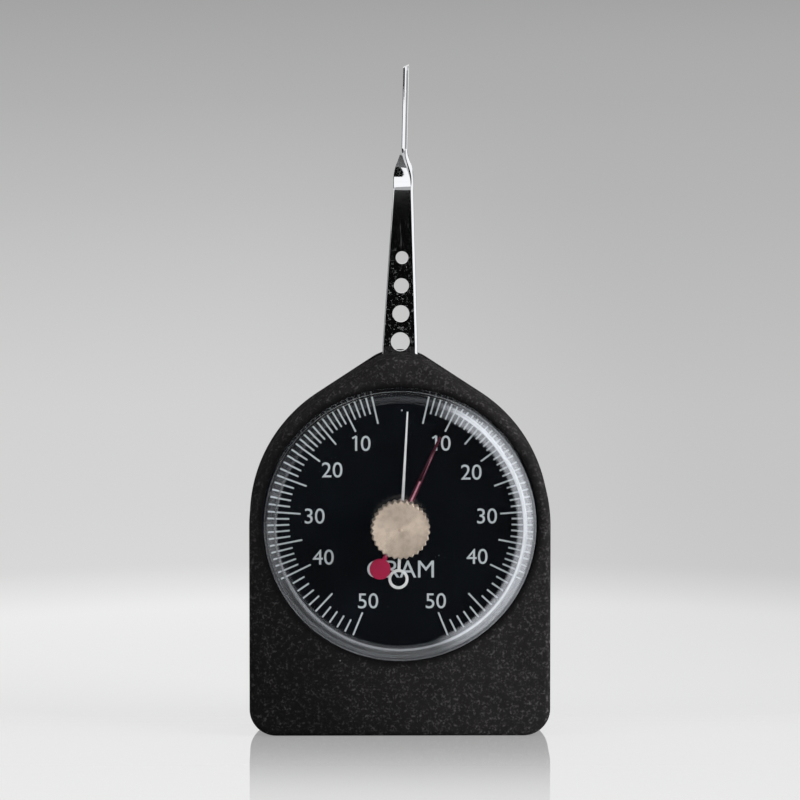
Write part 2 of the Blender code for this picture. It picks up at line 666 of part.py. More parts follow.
def make_plates():
    top = [(PILLARS[1][0], PILLARS[1][1]), (0, PLATE_TOP), (PILLARS[0][0], PILLARS[0][1])]
    front = plate(
        "front_plate",
        [
            rounded_hull([POSTS[2], POSTS[1], *top, POSTS[0]], PLATE_CORNER),
            circle((0, DIAL_HEIGHT), BUSH_RADIUS + RUN_GAP),
            circle((0, PIVOT_HEIGHT), BUSH_RADIUS + RUN_GAP),
            circle((DIAL_FOOT_OFFSET, DIAL_HEIGHT), DIAL_FOOT_RADIUS + SEAT_GAP, SMALL_STEPS),
            circle((-DIAL_FOOT_OFFSET, DIAL_HEIGHT), DIAL_FOOT_RADIUS + SEAT_GAP, SMALL_STEPS),
        ],
        PLATE_BACK, PLATE_FRONT, BRASS, FRONT_VIEW,
    )
    for index, at in enumerate(POSTS):
        cut(front, screw_seat(f"plate_seat_{index}", PLATE_SCREW, FRONT_VIEW, at,
                              PLATE_FRONT, False))
        screw(f"plate_screw_{index + 1}", PLATE_SCREW, FRONT_VIEW, at, PLATE_FRONT, False)
    bridge_holes = [
        circle((0, DIAL_HEIGHT), BUSH_RADIUS + RUN_GAP),
        circle((0, PIVOT_HEIGHT), BUSH_RADIUS + RUN_GAP),
    ]
    bridge_holes += [circle(at, BRIDGE_SCREW[2] + SEAT_GAP, SMALL_STEPS) for at in PILLARS]
    plate(
        "rear_bridge", [rounded_hull([PILLARS[2], *top], PLATE_CORNER), *bridge_holes],
        BRIDGE_BACK, BRIDGE_FRONT, BRASS, FRONT_VIEW,
    )
    for index, at in enumerate(PILLARS):
        head_level = BRIDGE_BACK - SEAT_GAP - BRIDGE_SCREW[1]
        screw(f"bridge_screw_{index + 1}", BRIDGE_SCREW, FRONT_VIEW, at, head_level, True,
              flat_head=False)


def make_posts():
    for index, at in enumerate(POSTS):
        ring(f"movement_post_{index + 1}", POST_SCREW[2] + RUN_GAP, POST_RADIUS,
             BODY_REAR, PLATE_BACK - SEAT_GAP, BRASS, FRONT_VIEW, segments=SMALL_STEPS, at=at)
    top = PLATE_BACK - SEAT_GAP
    bottom = BRIDGE_FRONT + SEAT_GAP
    bore = BRIDGE_SCREW[2] + RUN_GAP
    depth = BRIDGE_BACK - SEAT_GAP - BRIDGE_SCREW[1] + BRIDGE_SCREW[3] + SEAT_GAP
    profile = [
        (0, top), (PILLAR_RADIUS, top), (PILLAR_RADIUS, bottom),
        (bore, bottom), (bore, depth), (0, depth),
    ]
    for index, at in enumerate(PILLARS):
        turned(f"bridge_pillar_{index + 1}", profile, BRASS, FRONT_VIEW, segments=SMALL_STEPS,
               at=at)


def make_bushes():
    ring("arbor_front_bush", ARBOR_FRONT_RADIUS + RUN_GAP, BUSH_RADIUS, PLATE_BACK,
         PLATE_FRONT, BRONZE, DIAL_AXIS)
    ring("arbor_rear_bush", ARBOR_REAR_RADIUS + RUN_GAP, BUSH_RADIUS, BRIDGE_BACK,
         BRIDGE_FRONT, BRONZE, DIAL_AXIS)
    ring("staff_front_bush", STAFF_FRONT_RADIUS + RUN_GAP, BUSH_RADIUS, PLATE_BACK,
         PLATE_FRONT, BRONZE, PIVOT_AXIS)
    ring("staff_rear_bush", STAFF_REAR_RADIUS + RUN_GAP, BUSH_RADIUS, BRIDGE_BACK,
         BRIDGE_FRONT, BRONZE, PIVOT_AXIS)


def make_arbor():
    shoulder_front = PLATE_BACK - SEAT_GAP
    pinion_front = SECTOR_FRONT + PINION_MARGIN
    pinion_back = SECTOR_BACK - PINION_MARGIN
    profile = [
        (0, POINTER_FRONT + PIVOT_END_PLAY), (ARBOR_FRONT_RADIUS, POINTER_FRONT + PIVOT_END_PLAY),
        (ARBOR_FRONT_RADIUS, shoulder_front), (ARBOR_RADIUS, shoulder_front),
        (ARBOR_RADIUS, pinion_back), (ARBOR_REAR_RADIUS, pinion_back),
        (ARBOR_REAR_RADIUS, BRIDGE_BACK + PIVOT_END_PLAY), (0, BRIDGE_BACK + PIVOT_END_PLAY),
    ]
    arbor = turned("pinion_arbor", profile, STEEL, POINTER_AXIS, segments=SMALL_STEPS)
    pitch = math.tau / PINION_TEETH
    top_gap = math.pi / 2 + pitch / 2
    outline = []
    for index in range(PINION_TEETH):
        outline += tooth(PINION_RADIUS, top_gap + index * pitch)
    pinion = plate("pinion_teeth", [outline], pinion_back, pinion_front, None, POINTER_AXIS)
    return join(arbor, pinion)


def make_sector():
    pitch = math.tau / SECTOR_TEETH
    down = -math.pi / 2
    half = (SECTOR_SIDE_TEETH + 0.5) * pitch
    outline = []
    for index in range(-SECTOR_SIDE_TEETH, SECTOR_SIDE_TEETH + 1):
        outline += tooth(SECTOR_RADIUS, down + index * pitch)
    outline += arc((0, 0), SECTOR_HUB_RADIUS, down + half, down - half + math.tau, 20)
    window_outer = SECTOR_RADIUS - DEDENDUM_SHARE * MODULE - SECTOR_RIM
    window_inner = SECTOR_HUB_RADIUS + SECTOR_SPOKE
    outer_half = half - SECTOR_SPOKE / window_outer
    inner_half = max(half - SECTOR_SPOKE / window_inner, pitch / 2)
    window = arc((0, 0), window_outer, down - outer_half, down + outer_half, 8)
    window += arc((0, 0), window_inner, down + inner_half, down - inner_half, 2)
    plate(
        "sector_gear", [outline, window, circle((0, 0), STAFF_RADIUS + RUN_GAP)],
        SECTOR_BACK, SECTOR_FRONT, BRASS, LEVER_AXIS,
    )


def make_staff_and_hub():
    front = PLATE_FRONT - PIVOT_END_PLAY
    shoulder = PLATE_BACK - SEAT_GAP
    rear_shoulder = BRIDGE_FRONT + SEAT_GAP
    back = ARM_BACK - HUB_BOSS_RISE
    profile = [
        (0, front), (STAFF_FRONT_RADIUS, front), (STAFF_FRONT_RADIUS, shoulder),
        (STAFF_RADIUS, shoulder), (STAFF_RADIUS, rear_shoulder),
        (STAFF_REAR_RADIUS, rear_shoulder), (STAFF_REAR_RADIUS, back), (0, back),
    ]
    turned("lever_staff", profile, STEEL, LEVER_AXIS)
    bore = STAFF_REAR_RADIUS + RUN_GAP
    hub = turned(
        "lever_hub",
        [(bore, HUB_FRONT), (HUB_FLANGE_RADIUS, HUB_FRONT), (HUB_FLANGE_RADIUS, HUB_BACK),
         (HUB_BOSS_RADIUS, HUB_BACK), (HUB_BOSS_RADIUS, back), (bore, back)],
        BRASS, LEVER_AXIS, bored=True, turn=ARM_LEAN,
    )
    for side in (-1, 1):
        at = arm_place(0, side * ARM_SCREW_OFFSET)
        hole = rod(f"hub_screw_hole_{side}", ARM_SCREW[2] + RUN_GAP, HUB_BACK - CUT_OVERRUN,
                   HUB_FRONT + CUT_OVERRUN, None, LEVER_AXIS, segments=SMALL_STEPS, at=at)
        cut(hub, hole)
        name = "arm_screw_upper" if side > 0 else "arm_screw_lower"
        head_level = ARM_BACK - SEAT_GAP - ARM_SCREW[1]
        screw(name, ARM_SCREW, LEVER_AXIS, at, head_level, True, flat_head=False, turn=ARM_LEAN)


def arm_place(x, y):
    """Turn a place on the upright arm to the leaning arm's."""
    return (
        x * math.cos(ARM_LEAN) + y * math.sin(ARM_LEAN),
        y * math.cos(ARM_LEAN) - x * math.sin(ARM_LEAN),
    )


def arm_width(height):
    twist_end = ARM_TWIST_START + ARM_TWIST_LENGTH
    if height <= ARM_TAPER_START:
        return ARM_WIDTH
    if height <= ARM_TWIST_START:
        share = (height - ARM_TAPER_START) / (ARM_TWIST_START - ARM_TAPER_START)
        return ARM_WIDTH + (ARM_NECK_WIDTH - ARM_WIDTH) * share
    if height <= twist_end:
        return ARM_NECK_WIDTH
    share = (height - twist_end) / (ARM_REACH - twist_end)
    return ARM_NECK_WIDTH + (ARM_TIP_WIDTH - ARM_NECK_WIDTH) * share


def arm_twist(height):
    share = min(max((height - ARM_TWIST_START) / ARM_TWIST_LENGTH, 0), 1)
    return math.pi / 2 * share * share * (3 - 2 * share)


def make_feeler_arm():
    """A strip with broken edges, tapered and given a quarter twist below its blade."""
    mesh = bpy.data.meshes.new("feeler_arm")
    shape = bmesh.new()
    size = Matrix.Diagonal((ARM_WIDTH, ARM_REACH + ARM_TAIL, ARM_THICKNESS, 1))
    middle = Matrix.Translation((0, (ARM_REACH - ARM_TAIL) / 2, 0))
    bmesh.ops.create_cube(shape, size=1, matrix=middle @ size)
    long_edges = [
        edge for edge in shape.edges
        if abs(edge.verts[0].co.y - edge.verts[1].co.y) > ARM_REACH
    ]
    bmesh.ops.bevel(
        shape, geom=long_edges, offset=ARM_EDGE, segments=2, profile=0.5,
        affect="EDGES", clamp_overlap=False,
    )
    twist_steps = 10
    stations = [ARM_TAPER_START]
    for step in range(twist_steps + 1):
        stations.append(ARM_TWIST_START + ARM_TWIST_LENGTH * step / twist_steps)
    stations.append(ARM_REACH - ARM_TIP_CLIP * 2)
    for height in stations:
        bmesh.ops.bisect_plane(
            shape, geom=shape.verts[:] + shape.edges[:] + shape.faces[:],
            plane_co=(0, height, 0), plane_no=(0, 1, 0), dist=MERGE,
        )
    for vert in shape.verts:
        x, y, z = vert.co
        side = math.copysign(1, x)
        from_edge = abs(x) - ARM_WIDTH / 2
        x = side * (arm_width(y) / 2 + from_edge)
        if y > ARM_REACH - MERGE:
            y -= ARM_TIP_CLIP * (z / ARM_THICKNESS + 1 / 2)
        angle = arm_twist(y)
        vert.co = (
            x * math.cos(angle) - z * math.sin(angle), y,
            x * math.sin(angle) + z * math.cos(angle),
        )
    bmesh.ops.recalc_face_normals(shape, faces=shape.faces)
    shape.to_mesh(mesh)
    shape.free()
    smooth(mesh)
    arm = placed("feeler_arm", mesh, CHROME, LEVER_AXIS, level=ARM_LEVEL, turn=ARM_LEAN)
    half = ARM_THICKNESS / 2 + CUT_OVERRUN
    holes = [(0, HUB_BOSS_RADIUS + SEAT_GAP)]
    holes += [(side * ARM_SCREW_OFFSET, ARM_SCREW[2] + RUN_GAP) for side in (-1, 1)]
    holes += [(HOLE_START + index * HOLE_PITCH, radius) for index, radius in enumerate(HOLE_RADII)]
    for index, (height, radius) in enumerate(holes):
        hole = rod(f"arm_hole_{index}", radius, -half, half, None, LEVER_AXIS,
                   at=arm_place(0, height), level=ARM_LEVEL)
        cut(arm, hole)
    return arm


def spiral(inner, outer, strip, start, turns, steps_per_turn=ROUND_STEPS):
    """The outline of a flat spiral strip, edge on."""
    count = turns * steps_per_turn
    outside = []
    inside = []
    for step in range(count + 1):
        radius = inner + (outer - inner) * step / count
        angle = start + math.tau * step / steps_per_turn
        outside.append(polar(radius + strip / 2, angle))
        inside.append(polar(radius - strip / 2, angle))
    return outside + inside[::-1]


def make_spring(prefix, parent, moving, shaft, collet, outer, strip, width, level, start):
    """A spiral spring, the collet at its inner end and the stud at its outer end."""
    inner = collet + SEAT_GAP + strip / 2
    back = SECTOR_FRONT + level
    front = back + width
    plate(f"{prefix}_spring", [spiral(inner, outer, strip, start, SPRING_TURNS)], back, front,
          BRONZE, parent)
    ring(f"{prefix}_spring_collet", shaft + RUN_GAP, collet, back, front, BRASS, moving,
         segments=ROUND_STEPS)
    reach = outer + strip / 2 + SEAT_GAP + STUD_RADIUS
    at = (reach * math.cos(start), reach * math.sin(start))
    rod(f"{prefix}_spring_stud", STUD_RADIUS, back - STUD_OVERLAP, PLATE_BACK - SEAT_GAP,
        BRASS, parent, segments=SMALL_STEPS, at=at)


def make_springs():
    make_spring("main", PIVOT_AXIS, LEVER_AXIS, STAFF_RADIUS, MAIN_COLLET_RADIUS,
                MAIN_SPRING_OUTER, MAIN_SPRING_STRIP, MAIN_SPRING_WIDTH_SHARE * SPRING_ROOM,
                MAIN_SPRING_LEVEL_SHARE * SPRING_ROOM, MAIN_STUD_ANGLE)
    make_spring("hair", DIAL_AXIS, POINTER_AXIS, ARBOR_RADIUS, HAIR_COLLET_RADIUS,
                HAIRSPRING_OUTER, HAIRSPRING_STRIP, HAIRSPRING_WIDTH_SHARE * SPRING_ROOM,
                HAIRSPRING_LEVEL_SHARE * SPRING_ROOM, HAIR_STUD_ANGLE)


def make_stop_pins():
    """A pin each side of the sector, touched when the lever reaches its limit."""
    sector_half = (SECTOR_SIDE_TEETH + 0.5) * math.tau / SECTOR_TEETH
    clear = (STOP_PIN_RADIUS + SEAT_GAP) / STOP_PIN_REACH
    for name, side in (("stop_pin_left", -1), ("stop_pin_right", 1)):
        angle = -math.pi / 2 + side * (sector_half + LEVER_LIMIT + clear)
        rod(name, STOP_PIN_RADIUS, BRIDGE_FRONT + SEAT_GAP, PLATE_BACK - SEAT_GAP, STEEL,
            PIVOT_AXIS, segments=SMALL_STEPS, at=polar(STOP_PIN_REACH, angle))


def blade(root_width, tip_width, reach):
    """A tapered pointer blade along y, from the axis."""
    return [
        (-root_width / 2, 0), (root_width / 2, 0), (tip_width / 2, reach), (-tip_width / 2, reach),
    ]


def strip(width, low, high):
    return [(-width / 2, low), (width / 2, low), (width / 2, high), (-width / 2, high)]


def make_main_pointer():
    back = POINTER_BACK + POINTER_HUB_STEP
    front = back + POINTER_THICKNESS
    place = dict(turn=MAIN_ANGLE)
    outer = circle((0, -MAIN_RING_CENTRE), MAIN_RING_RADIUS)
    inner = circle((0, -MAIN_RING_CENTRE), MAIN_RING_RADIUS - MAIN_RING_BAND)
    pointer = plate("main_pointer", [outer, inner], back, front, WHITE_PAINT, POINTER_AXIS, **place)
    tail_end = -MAIN_RING_CENTRE + MAIN_RING_RADIUS - MAIN_RING_BAND / 2
    tail = plate("main_tail", [strip(MAIN_TAIL_WIDTH, tail_end, 0)], back, front, None,
                 POINTER_AXIS, **place)
    needle = plate("main_needle", [blade(MAIN_ROOT_WIDTH, MAIN_TIP_WIDTH, MAIN_REACH)], back,
                   front, None, POINTER_AXIS, **place)
    hub = rod("main_hub", POINTER_HUB_RADIUS, POINTER_BACK, POINTER_FRONT, None, POINTER_AXIS)
    bore = rod("main_bore", ARBOR_FRONT_RADIUS + RUN_GAP, POINTER_BACK - CUT_OVERRUN,
               POINTER_FRONT + CUT_OVERRUN, None, POINTER_AXIS)
    join(pointer, tail, needle, hub)
    return cut(pointer, bore)


def ridged_blade(name, root_width, tip_width, reach, fold, back, front, finish, parent, **place):
    """A blade folded to a roof along its middle."""
    mesh = outline_mesh(name, [blade(root_width, tip_width, reach)], back, front)
    shape = bmesh.new()
    shape.from_mesh(mesh)
    bmesh.ops.dissolve_limit(
        shape, angle_limit=math.radians(1), verts=shape.verts, edges=shape.edges
    )
    sides = [
        edge for edge in shape.edges
        if all(vert.co.z > (front + back) / 2 for vert in edge.verts)
        and abs(edge.verts[0].co.y - edge.verts[1].co.y) > reach / 2
    ]
    bmesh.ops.bevel(shape, geom=sides, offset=fold, segments=1, affect="EDGES",
                    clamp_overlap=True)
    shape.to_mesh(mesh)
    shape.free()
    if finish:
        smooth(mesh)
    return placed(name, mesh, finish, parent, **place)


def make_drag_pointer():
    back = (DRAG_FRONT + DRAG_BACK - DRAG_THICKNESS) / 2
    front = back + DRAG_THICKNESS
    place = dict(turn=DRAG_ANGLE)
    pointer = ridged_blade("drag_pointer", DRAG_ROOT_WIDTH, DRAG_TIP_WIDTH, DRAG_REACH,
                           DRAG_FOLD_WIDTH, back, front, RED_PAINT, RESET_AXIS, **place)
    neck = plate("drag_neck", [strip(DRAG_NECK_WIDTH, -DRAG_DISC_CENTRE, 0)], back, front,
                 None, RESET_AXIS, **place)
    disc = plate("drag_disc", [circle((0, -DRAG_DISC_CENTRE), DRAG_DISC_RADIUS)], back,
                 front, None, RESET_AXIS, **place)
    hub = rod("drag_hub", DRAG_HUB_RADIUS, DRAG_BACK, DRAG_FRONT, None, RESET_AXIS)
    bore = rod("drag_bore", SPINDLE_RADIUS + RUN_GAP, DRAG_BACK - CUT_OVERRUN,
               DRAG_FRONT + CUT_OVERRUN, None, RESET_AXIS)
    join(pointer, neck, disc, hub)
    return cut(pointer, bore)


def make_knob():
    pitch = math.tau / KNOB_TEETH
    outline = []
    for index in range(KNOB_TEETH):
        outline.append(polar(KNOB_RADIUS - KNURL_DEPTH, (index - 0.5) * pitch))
        outline.append(polar(KNOB_RADIUS, index * pitch))
    knob = plate("reset_knob", [outline], KNOB_BACK - CUT_OVERRUN, KNOB_FRONT + CUT_OVERRUN,
                 NICKEL, RESET_AXIS)
    rim = KNOB_RADIUS - KNOB_CHAMFER
    dish = KNOB_RADIUS - KNOB_RIM
    bore = SPINDLE_RADIUS + RUN_GAP
    bore_end = KNOB_BACK + KNOB_BORE_DEPTH
    lathe = turned(
        "knob_turning",
        [(0, KNOB_FRONT - KNOB_DISH), (dish - KNOB_DISH, KNOB_FRONT - KNOB_DISH),
         (dish, KNOB_FRONT), (rim, KNOB_FRONT), (KNOB_RADIUS, KNOB_FRONT - KNOB_CHAMFER),
         (KNOB_RADIUS + KNURL_DEPTH, KNOB_FRONT - KNOB_CHAMFER),
         (KNOB_RADIUS + KNURL_DEPTH, KNOB_BACK + KNOB_CHAMFER),
         (KNOB_RADIUS, KNOB_BACK + KNOB_CHAMFER), (rim, KNOB_BACK),
         (bore, KNOB_BACK), (bore, bore_end), (0, bore_end)],
        None, RESET_AXIS, segments=KNOB_TEETH,
    )
    boolean(knob, lathe, "INTERSECT")
    spindle_front = KNOB_BACK + SPINDLE_GRIP
    rod("knob_spindle", SPINDLE_RADIUS, DRAG_BACK - SPINDLE_TAIL, spindle_front, STEEL,
        RESET_AXIS)
    return knob


def make_knob_bearing():
    bore = SPINDLE_RADIUS + RUN_GAP
    turned(
        "knob_bearing",
        [(bore, CRYSTAL_FRONT), (BEARING_RADIUS, CRYSTAL_FRONT), (BEARING_RADIUS, BEARING_FRONT),
         (BEARING_FLANGE_RADIUS, BEARING_FRONT), (BEARING_FLANGE_RADIUS, BEARING_BACK),
         (bore, BEARING_BACK)],
        BRASS, DIAL_AXIS, bored=True,
    )
    flat = WASHER_BACK + WASHER_THICKNESS
    turned(
        "friction_washer",
        [(WASHER_INNER, flat + WASHER_DISH), (WASHER_OUTER, flat), (WASHER_OUTER, WASHER_BACK),
         (WASHER_INNER, WASHER_BACK + WASHER_DISH)],
        BRONZE, DIAL_AXIS, bored=True,
    )


make_front_case()
make_rear_cover()
make_crystal()
make_dial()
make_plates()
make_posts()
make_bushes()
make_arbor()
make_sector()
make_staff_and_hub()
make_feeler_arm()
make_springs()
make_stop_pins()
make_main_pointer()
make_drag_pointer()
make_knob()
make_knob_bearing()
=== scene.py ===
"""Looks of the dial force gauge: finer pieces over its CAD frame, finishes, stage and camera.

World axes: x is to the right as the dial is read, -y is towards the reader and z is up.
"""

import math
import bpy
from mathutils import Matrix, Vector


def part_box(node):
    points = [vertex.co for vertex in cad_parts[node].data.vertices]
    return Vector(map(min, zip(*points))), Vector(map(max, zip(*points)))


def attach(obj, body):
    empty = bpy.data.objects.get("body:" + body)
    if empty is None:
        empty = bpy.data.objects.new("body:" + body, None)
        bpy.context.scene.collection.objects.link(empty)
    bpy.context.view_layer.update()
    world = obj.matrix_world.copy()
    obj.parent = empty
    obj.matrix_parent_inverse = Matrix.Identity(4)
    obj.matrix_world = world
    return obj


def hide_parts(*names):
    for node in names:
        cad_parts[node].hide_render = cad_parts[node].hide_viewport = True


bl_info = {
    "name": "Dial force gauge",
    "version": (1, 0, 0),
    "blender": (4, 5, 0),
    "location": "View3D > Sidebar > Force gauge",
    "description": "Dresses the packed frame of a dial force gauge and sets its stage",
    "category": "Object",
}

from contextlib import contextmanager

import bpy
from bpy.props import FloatProperty, FloatVectorProperty, IntProperty, PointerProperty
from mathutils import Matrix, Vector

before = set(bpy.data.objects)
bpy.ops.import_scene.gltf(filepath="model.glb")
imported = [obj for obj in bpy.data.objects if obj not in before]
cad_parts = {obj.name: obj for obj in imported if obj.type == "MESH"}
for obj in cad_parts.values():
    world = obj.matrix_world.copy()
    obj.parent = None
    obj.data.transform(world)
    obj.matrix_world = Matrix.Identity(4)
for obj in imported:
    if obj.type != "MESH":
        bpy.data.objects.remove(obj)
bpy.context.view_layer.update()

MM = 0.001
SEAT_GAP = 0.3 * MM
OVERRUN = 1.0 * MM
LATHE_STEPS = 144
HOLE_STEPS = 48
ARC_STEPS = 240              # round the head of the case
SMOOTH_ANGLE = math.radians(35)
TOUCH = 0.01 * MM            # how near counts as the same place


def low(node):
    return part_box(node)[0]


def high(node):
    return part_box(node)[1]


def middle(node):
    return (low(node) + high(node)) / 2


def numbered(prefix, count):
    return [f"{prefix}_{index}" for index in range(1, count + 1)]


DIAL_CENTRE = middle("crystal").z
PIVOT_HEIGHT = middle("staff_front_bush").z


# ---------------------------------------------------------------- modelling


def deselect():
    if bpy.context.mode != "OBJECT":
        bpy.ops.object.mode_set(mode="OBJECT")
    bpy.ops.object.select_all(action="DESELECT")


def only(active, *others):
    """Selects these objects alone and makes the first of them active."""
    deselect()
    for piece in (active, *others):
        piece.select_set(True)
    bpy.context.view_layer.objects.active = active


def taken(name):
    """The primitive just added, named, with its place put into its mesh."""
    piece = bpy.context.active_object
    piece.name = name
    piece.data.name = name
    bpy.ops.object.transform_apply(location=True, rotation=True, scale=True)
    return piece


def barrel(name, radius, back, front, at=(0, 0), steps=LATHE_STEPS):
    """A cylinder along y from back to front, where front is the smaller y."""
    deselect()
    bpy.ops.mesh.primitive_cylinder_add(
        vertices=steps, radius=radius, depth=back - front,
        location=(at[0], (back + front) / 2, at[1]), rotation=(math.pi / 2, 0, 0),
    )
    return taken(name)


def brick(name, lowest, highest):
    deselect()
    size = [b - a for a, b in zip(lowest, highest)]
    centre = [(a + b) / 2 for a, b in zip(lowest, highest)]
    bpy.ops.mesh.primitive_cube_add(size=1, location=centre, scale=size)
    return taken(name)


def choose(mesh, faces=None, edges=None, verts=None):
    """Selects what the test picks on a mesh, or all of it."""
    everything = not (faces or edges or verts)
    for group in (mesh.polygons, mesh.edges, mesh.vertices):
        group.foreach_set("select", [everything] * len(group))
    where = [vert.co for vert in mesh.vertices]
    if faces:
        for face in mesh.polygons:
            face.select = bool(faces(face.center, face.normal))
    if edges:
        for edge in mesh.edges:
            edge.select = bool(edges(*(where[index] for index in edge.vertices)))
    if verts:
        for vert in mesh.vertices:
            vert.select = bool(verts(vert.co))
    mode = (bool(verts), bool(edges), bool(faces) or everything)
    bpy.context.tool_settings.mesh_select_mode = mode


@contextmanager
def edited(piece, **tests):
    """Edit mode on a piece, with what one test picks selected, or all of it."""
    only(piece)
    choose(piece.data, **tests)
    bpy.ops.object.mode_set(mode="EDIT")
    yield
    bpy.ops.object.mode_set(mode="OBJECT")


def step_in(*steps):
    """Insets the selected faces again and again, each time by a width and a rise."""
    for width, rise in steps:
        if width:
            bpy.ops.mesh.inset(thickness=width, depth=rise)
        else:
            bpy.ops.mesh.extrude_region_shrink_fatten(
                TRANSFORM_OT_shrink_fatten={"value": rise}
            )


def move(offset):
    bpy.ops.transform.translate(value=offset)


def extrude(offset):
    bpy.ops.mesh.extrude_region_move(TRANSFORM_OT_translate={"value": offset})


def bevel(width, segments, affect="EDGES"):
    bpy.ops.mesh.bevel(
        offset=width, segments=segments, affect=affect, profile=0.5, clamp_overlap=False
    )


def closed(piece, smooth=SMOOTH_ANGLE):
    """Merges doubles, turns the faces outwards and smooths them up to an angle."""
    with edited(piece):
        bpy.ops.mesh.remove_doubles(threshold=0.001 * MM)
        bpy.ops.mesh.normals_make_consistent(inside=False)
    bpy.ops.object.shade_smooth_by_angle(angle=smooth)
    return piece


def modify(piece, kind, **settings):
    only(piece)
    modifier = piece.modifiers.new(kind.lower(), kind)
    for name, value in settings.items():
        setattr(modifier, name, value)
    bpy.ops.object.modifier_apply(modifier=modifier.name)
    return piece


def boolean(piece, other, operation):
    modify(piece, "BOOLEAN", object=other, operation=operation, solver="EXACT")
    bpy.data.objects.remove(other)
    return piece


def cut(piece, *tools):
    for tool in tools:
        boolean(piece, tool, "DIFFERENCE")
    return piece


def weld(piece, *others):
    for other in others:
        boolean(piece, other, "UNION")
    return piece


def settle(piece, at=(0, 0, 0), turn=0.0):
    """Turns a piece clockwise as the dial is read, about the origin, and moves it there."""
    only(piece)
    piece.rotation_euler = (0, turn, 0)
    piece.location = at
    bpy.ops.object.transform_apply(location=True, rotation=True, scale=True)
    return piece


def even_normals(piece):
    """Keeps broad flat faces flat beside their rounded edges."""
    return modify(piece, "WEIGHTED_NORMAL", keep_sharp=True, weight=80)


def hand_over(piece, finish, body, slot, *nodes):
    """Gives a finished piece its material and ties it to the frame."""
    piece.data.materials.clear()
    piece.data.materials.append(finish)
    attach(piece, body)
    if nodes:
        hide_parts(*nodes)
    return piece


def copies(source, matrices):
    """A mesh object and its copies, each with its own mesh."""
    made = [source]
    for matrix in matrices:
        copy = bpy.data.objects.new(source.name, source.data.copy())
        copy.data.transform(matrix)
        bpy.context.collection.objects.link(copy)
        made.append(copy)
    return made


def joined(name, pieces):
    only(*pieces)
    bpy.ops.object.join()
    whole = bpy.context.active_object
    whole.name = name
    whole.data.name = name
    return whole


# ---------------------------------------------------------------- shader maths


class Socket:
    """A node's output, on which Python's operators add Math nodes."""

    def __init__(self, finish, output):
        self.finish = finish
        self.output = output

    def maths(self, operation, first, second=None):
        inputs = {0: first} if second is None else {0: first, 1: second}
        return self.finish.node("ShaderNodeMath", {"operation": operation}, inputs)

    def __add__(self, other):
        return self.maths("ADD", self, other)

    def __radd__(self, other):
        return self.maths("ADD", other, self)

    def __sub__(self, other):
        return self.maths("SUBTRACT", self, other)

    def __rsub__(self, other):
        return self.maths("SUBTRACT", other, self)

    def __mul__(self, other):
        return self.maths("MULTIPLY", self, other)

    def __rmul__(self, other):
        return self.maths("MULTIPLY", other, self)

    def __truediv__(self, other):
        return self.maths("DIVIDE", self, other)

    def over(self, start, end):
        """0 below start, 1 above end and a smooth rise between."""
        return self.finish.node(
            "ShaderNodeMapRange", {"interpolation_type": "SMOOTHSTEP"},
            {"Value": self, "From Min": start, "From Max": end},
        )

    def within(self, start, full, fading, end):
        """1 from full to fading, and a smooth fall to 0 at start and end."""
        return self.over(start, full) * (1 - self.over(fading, end))


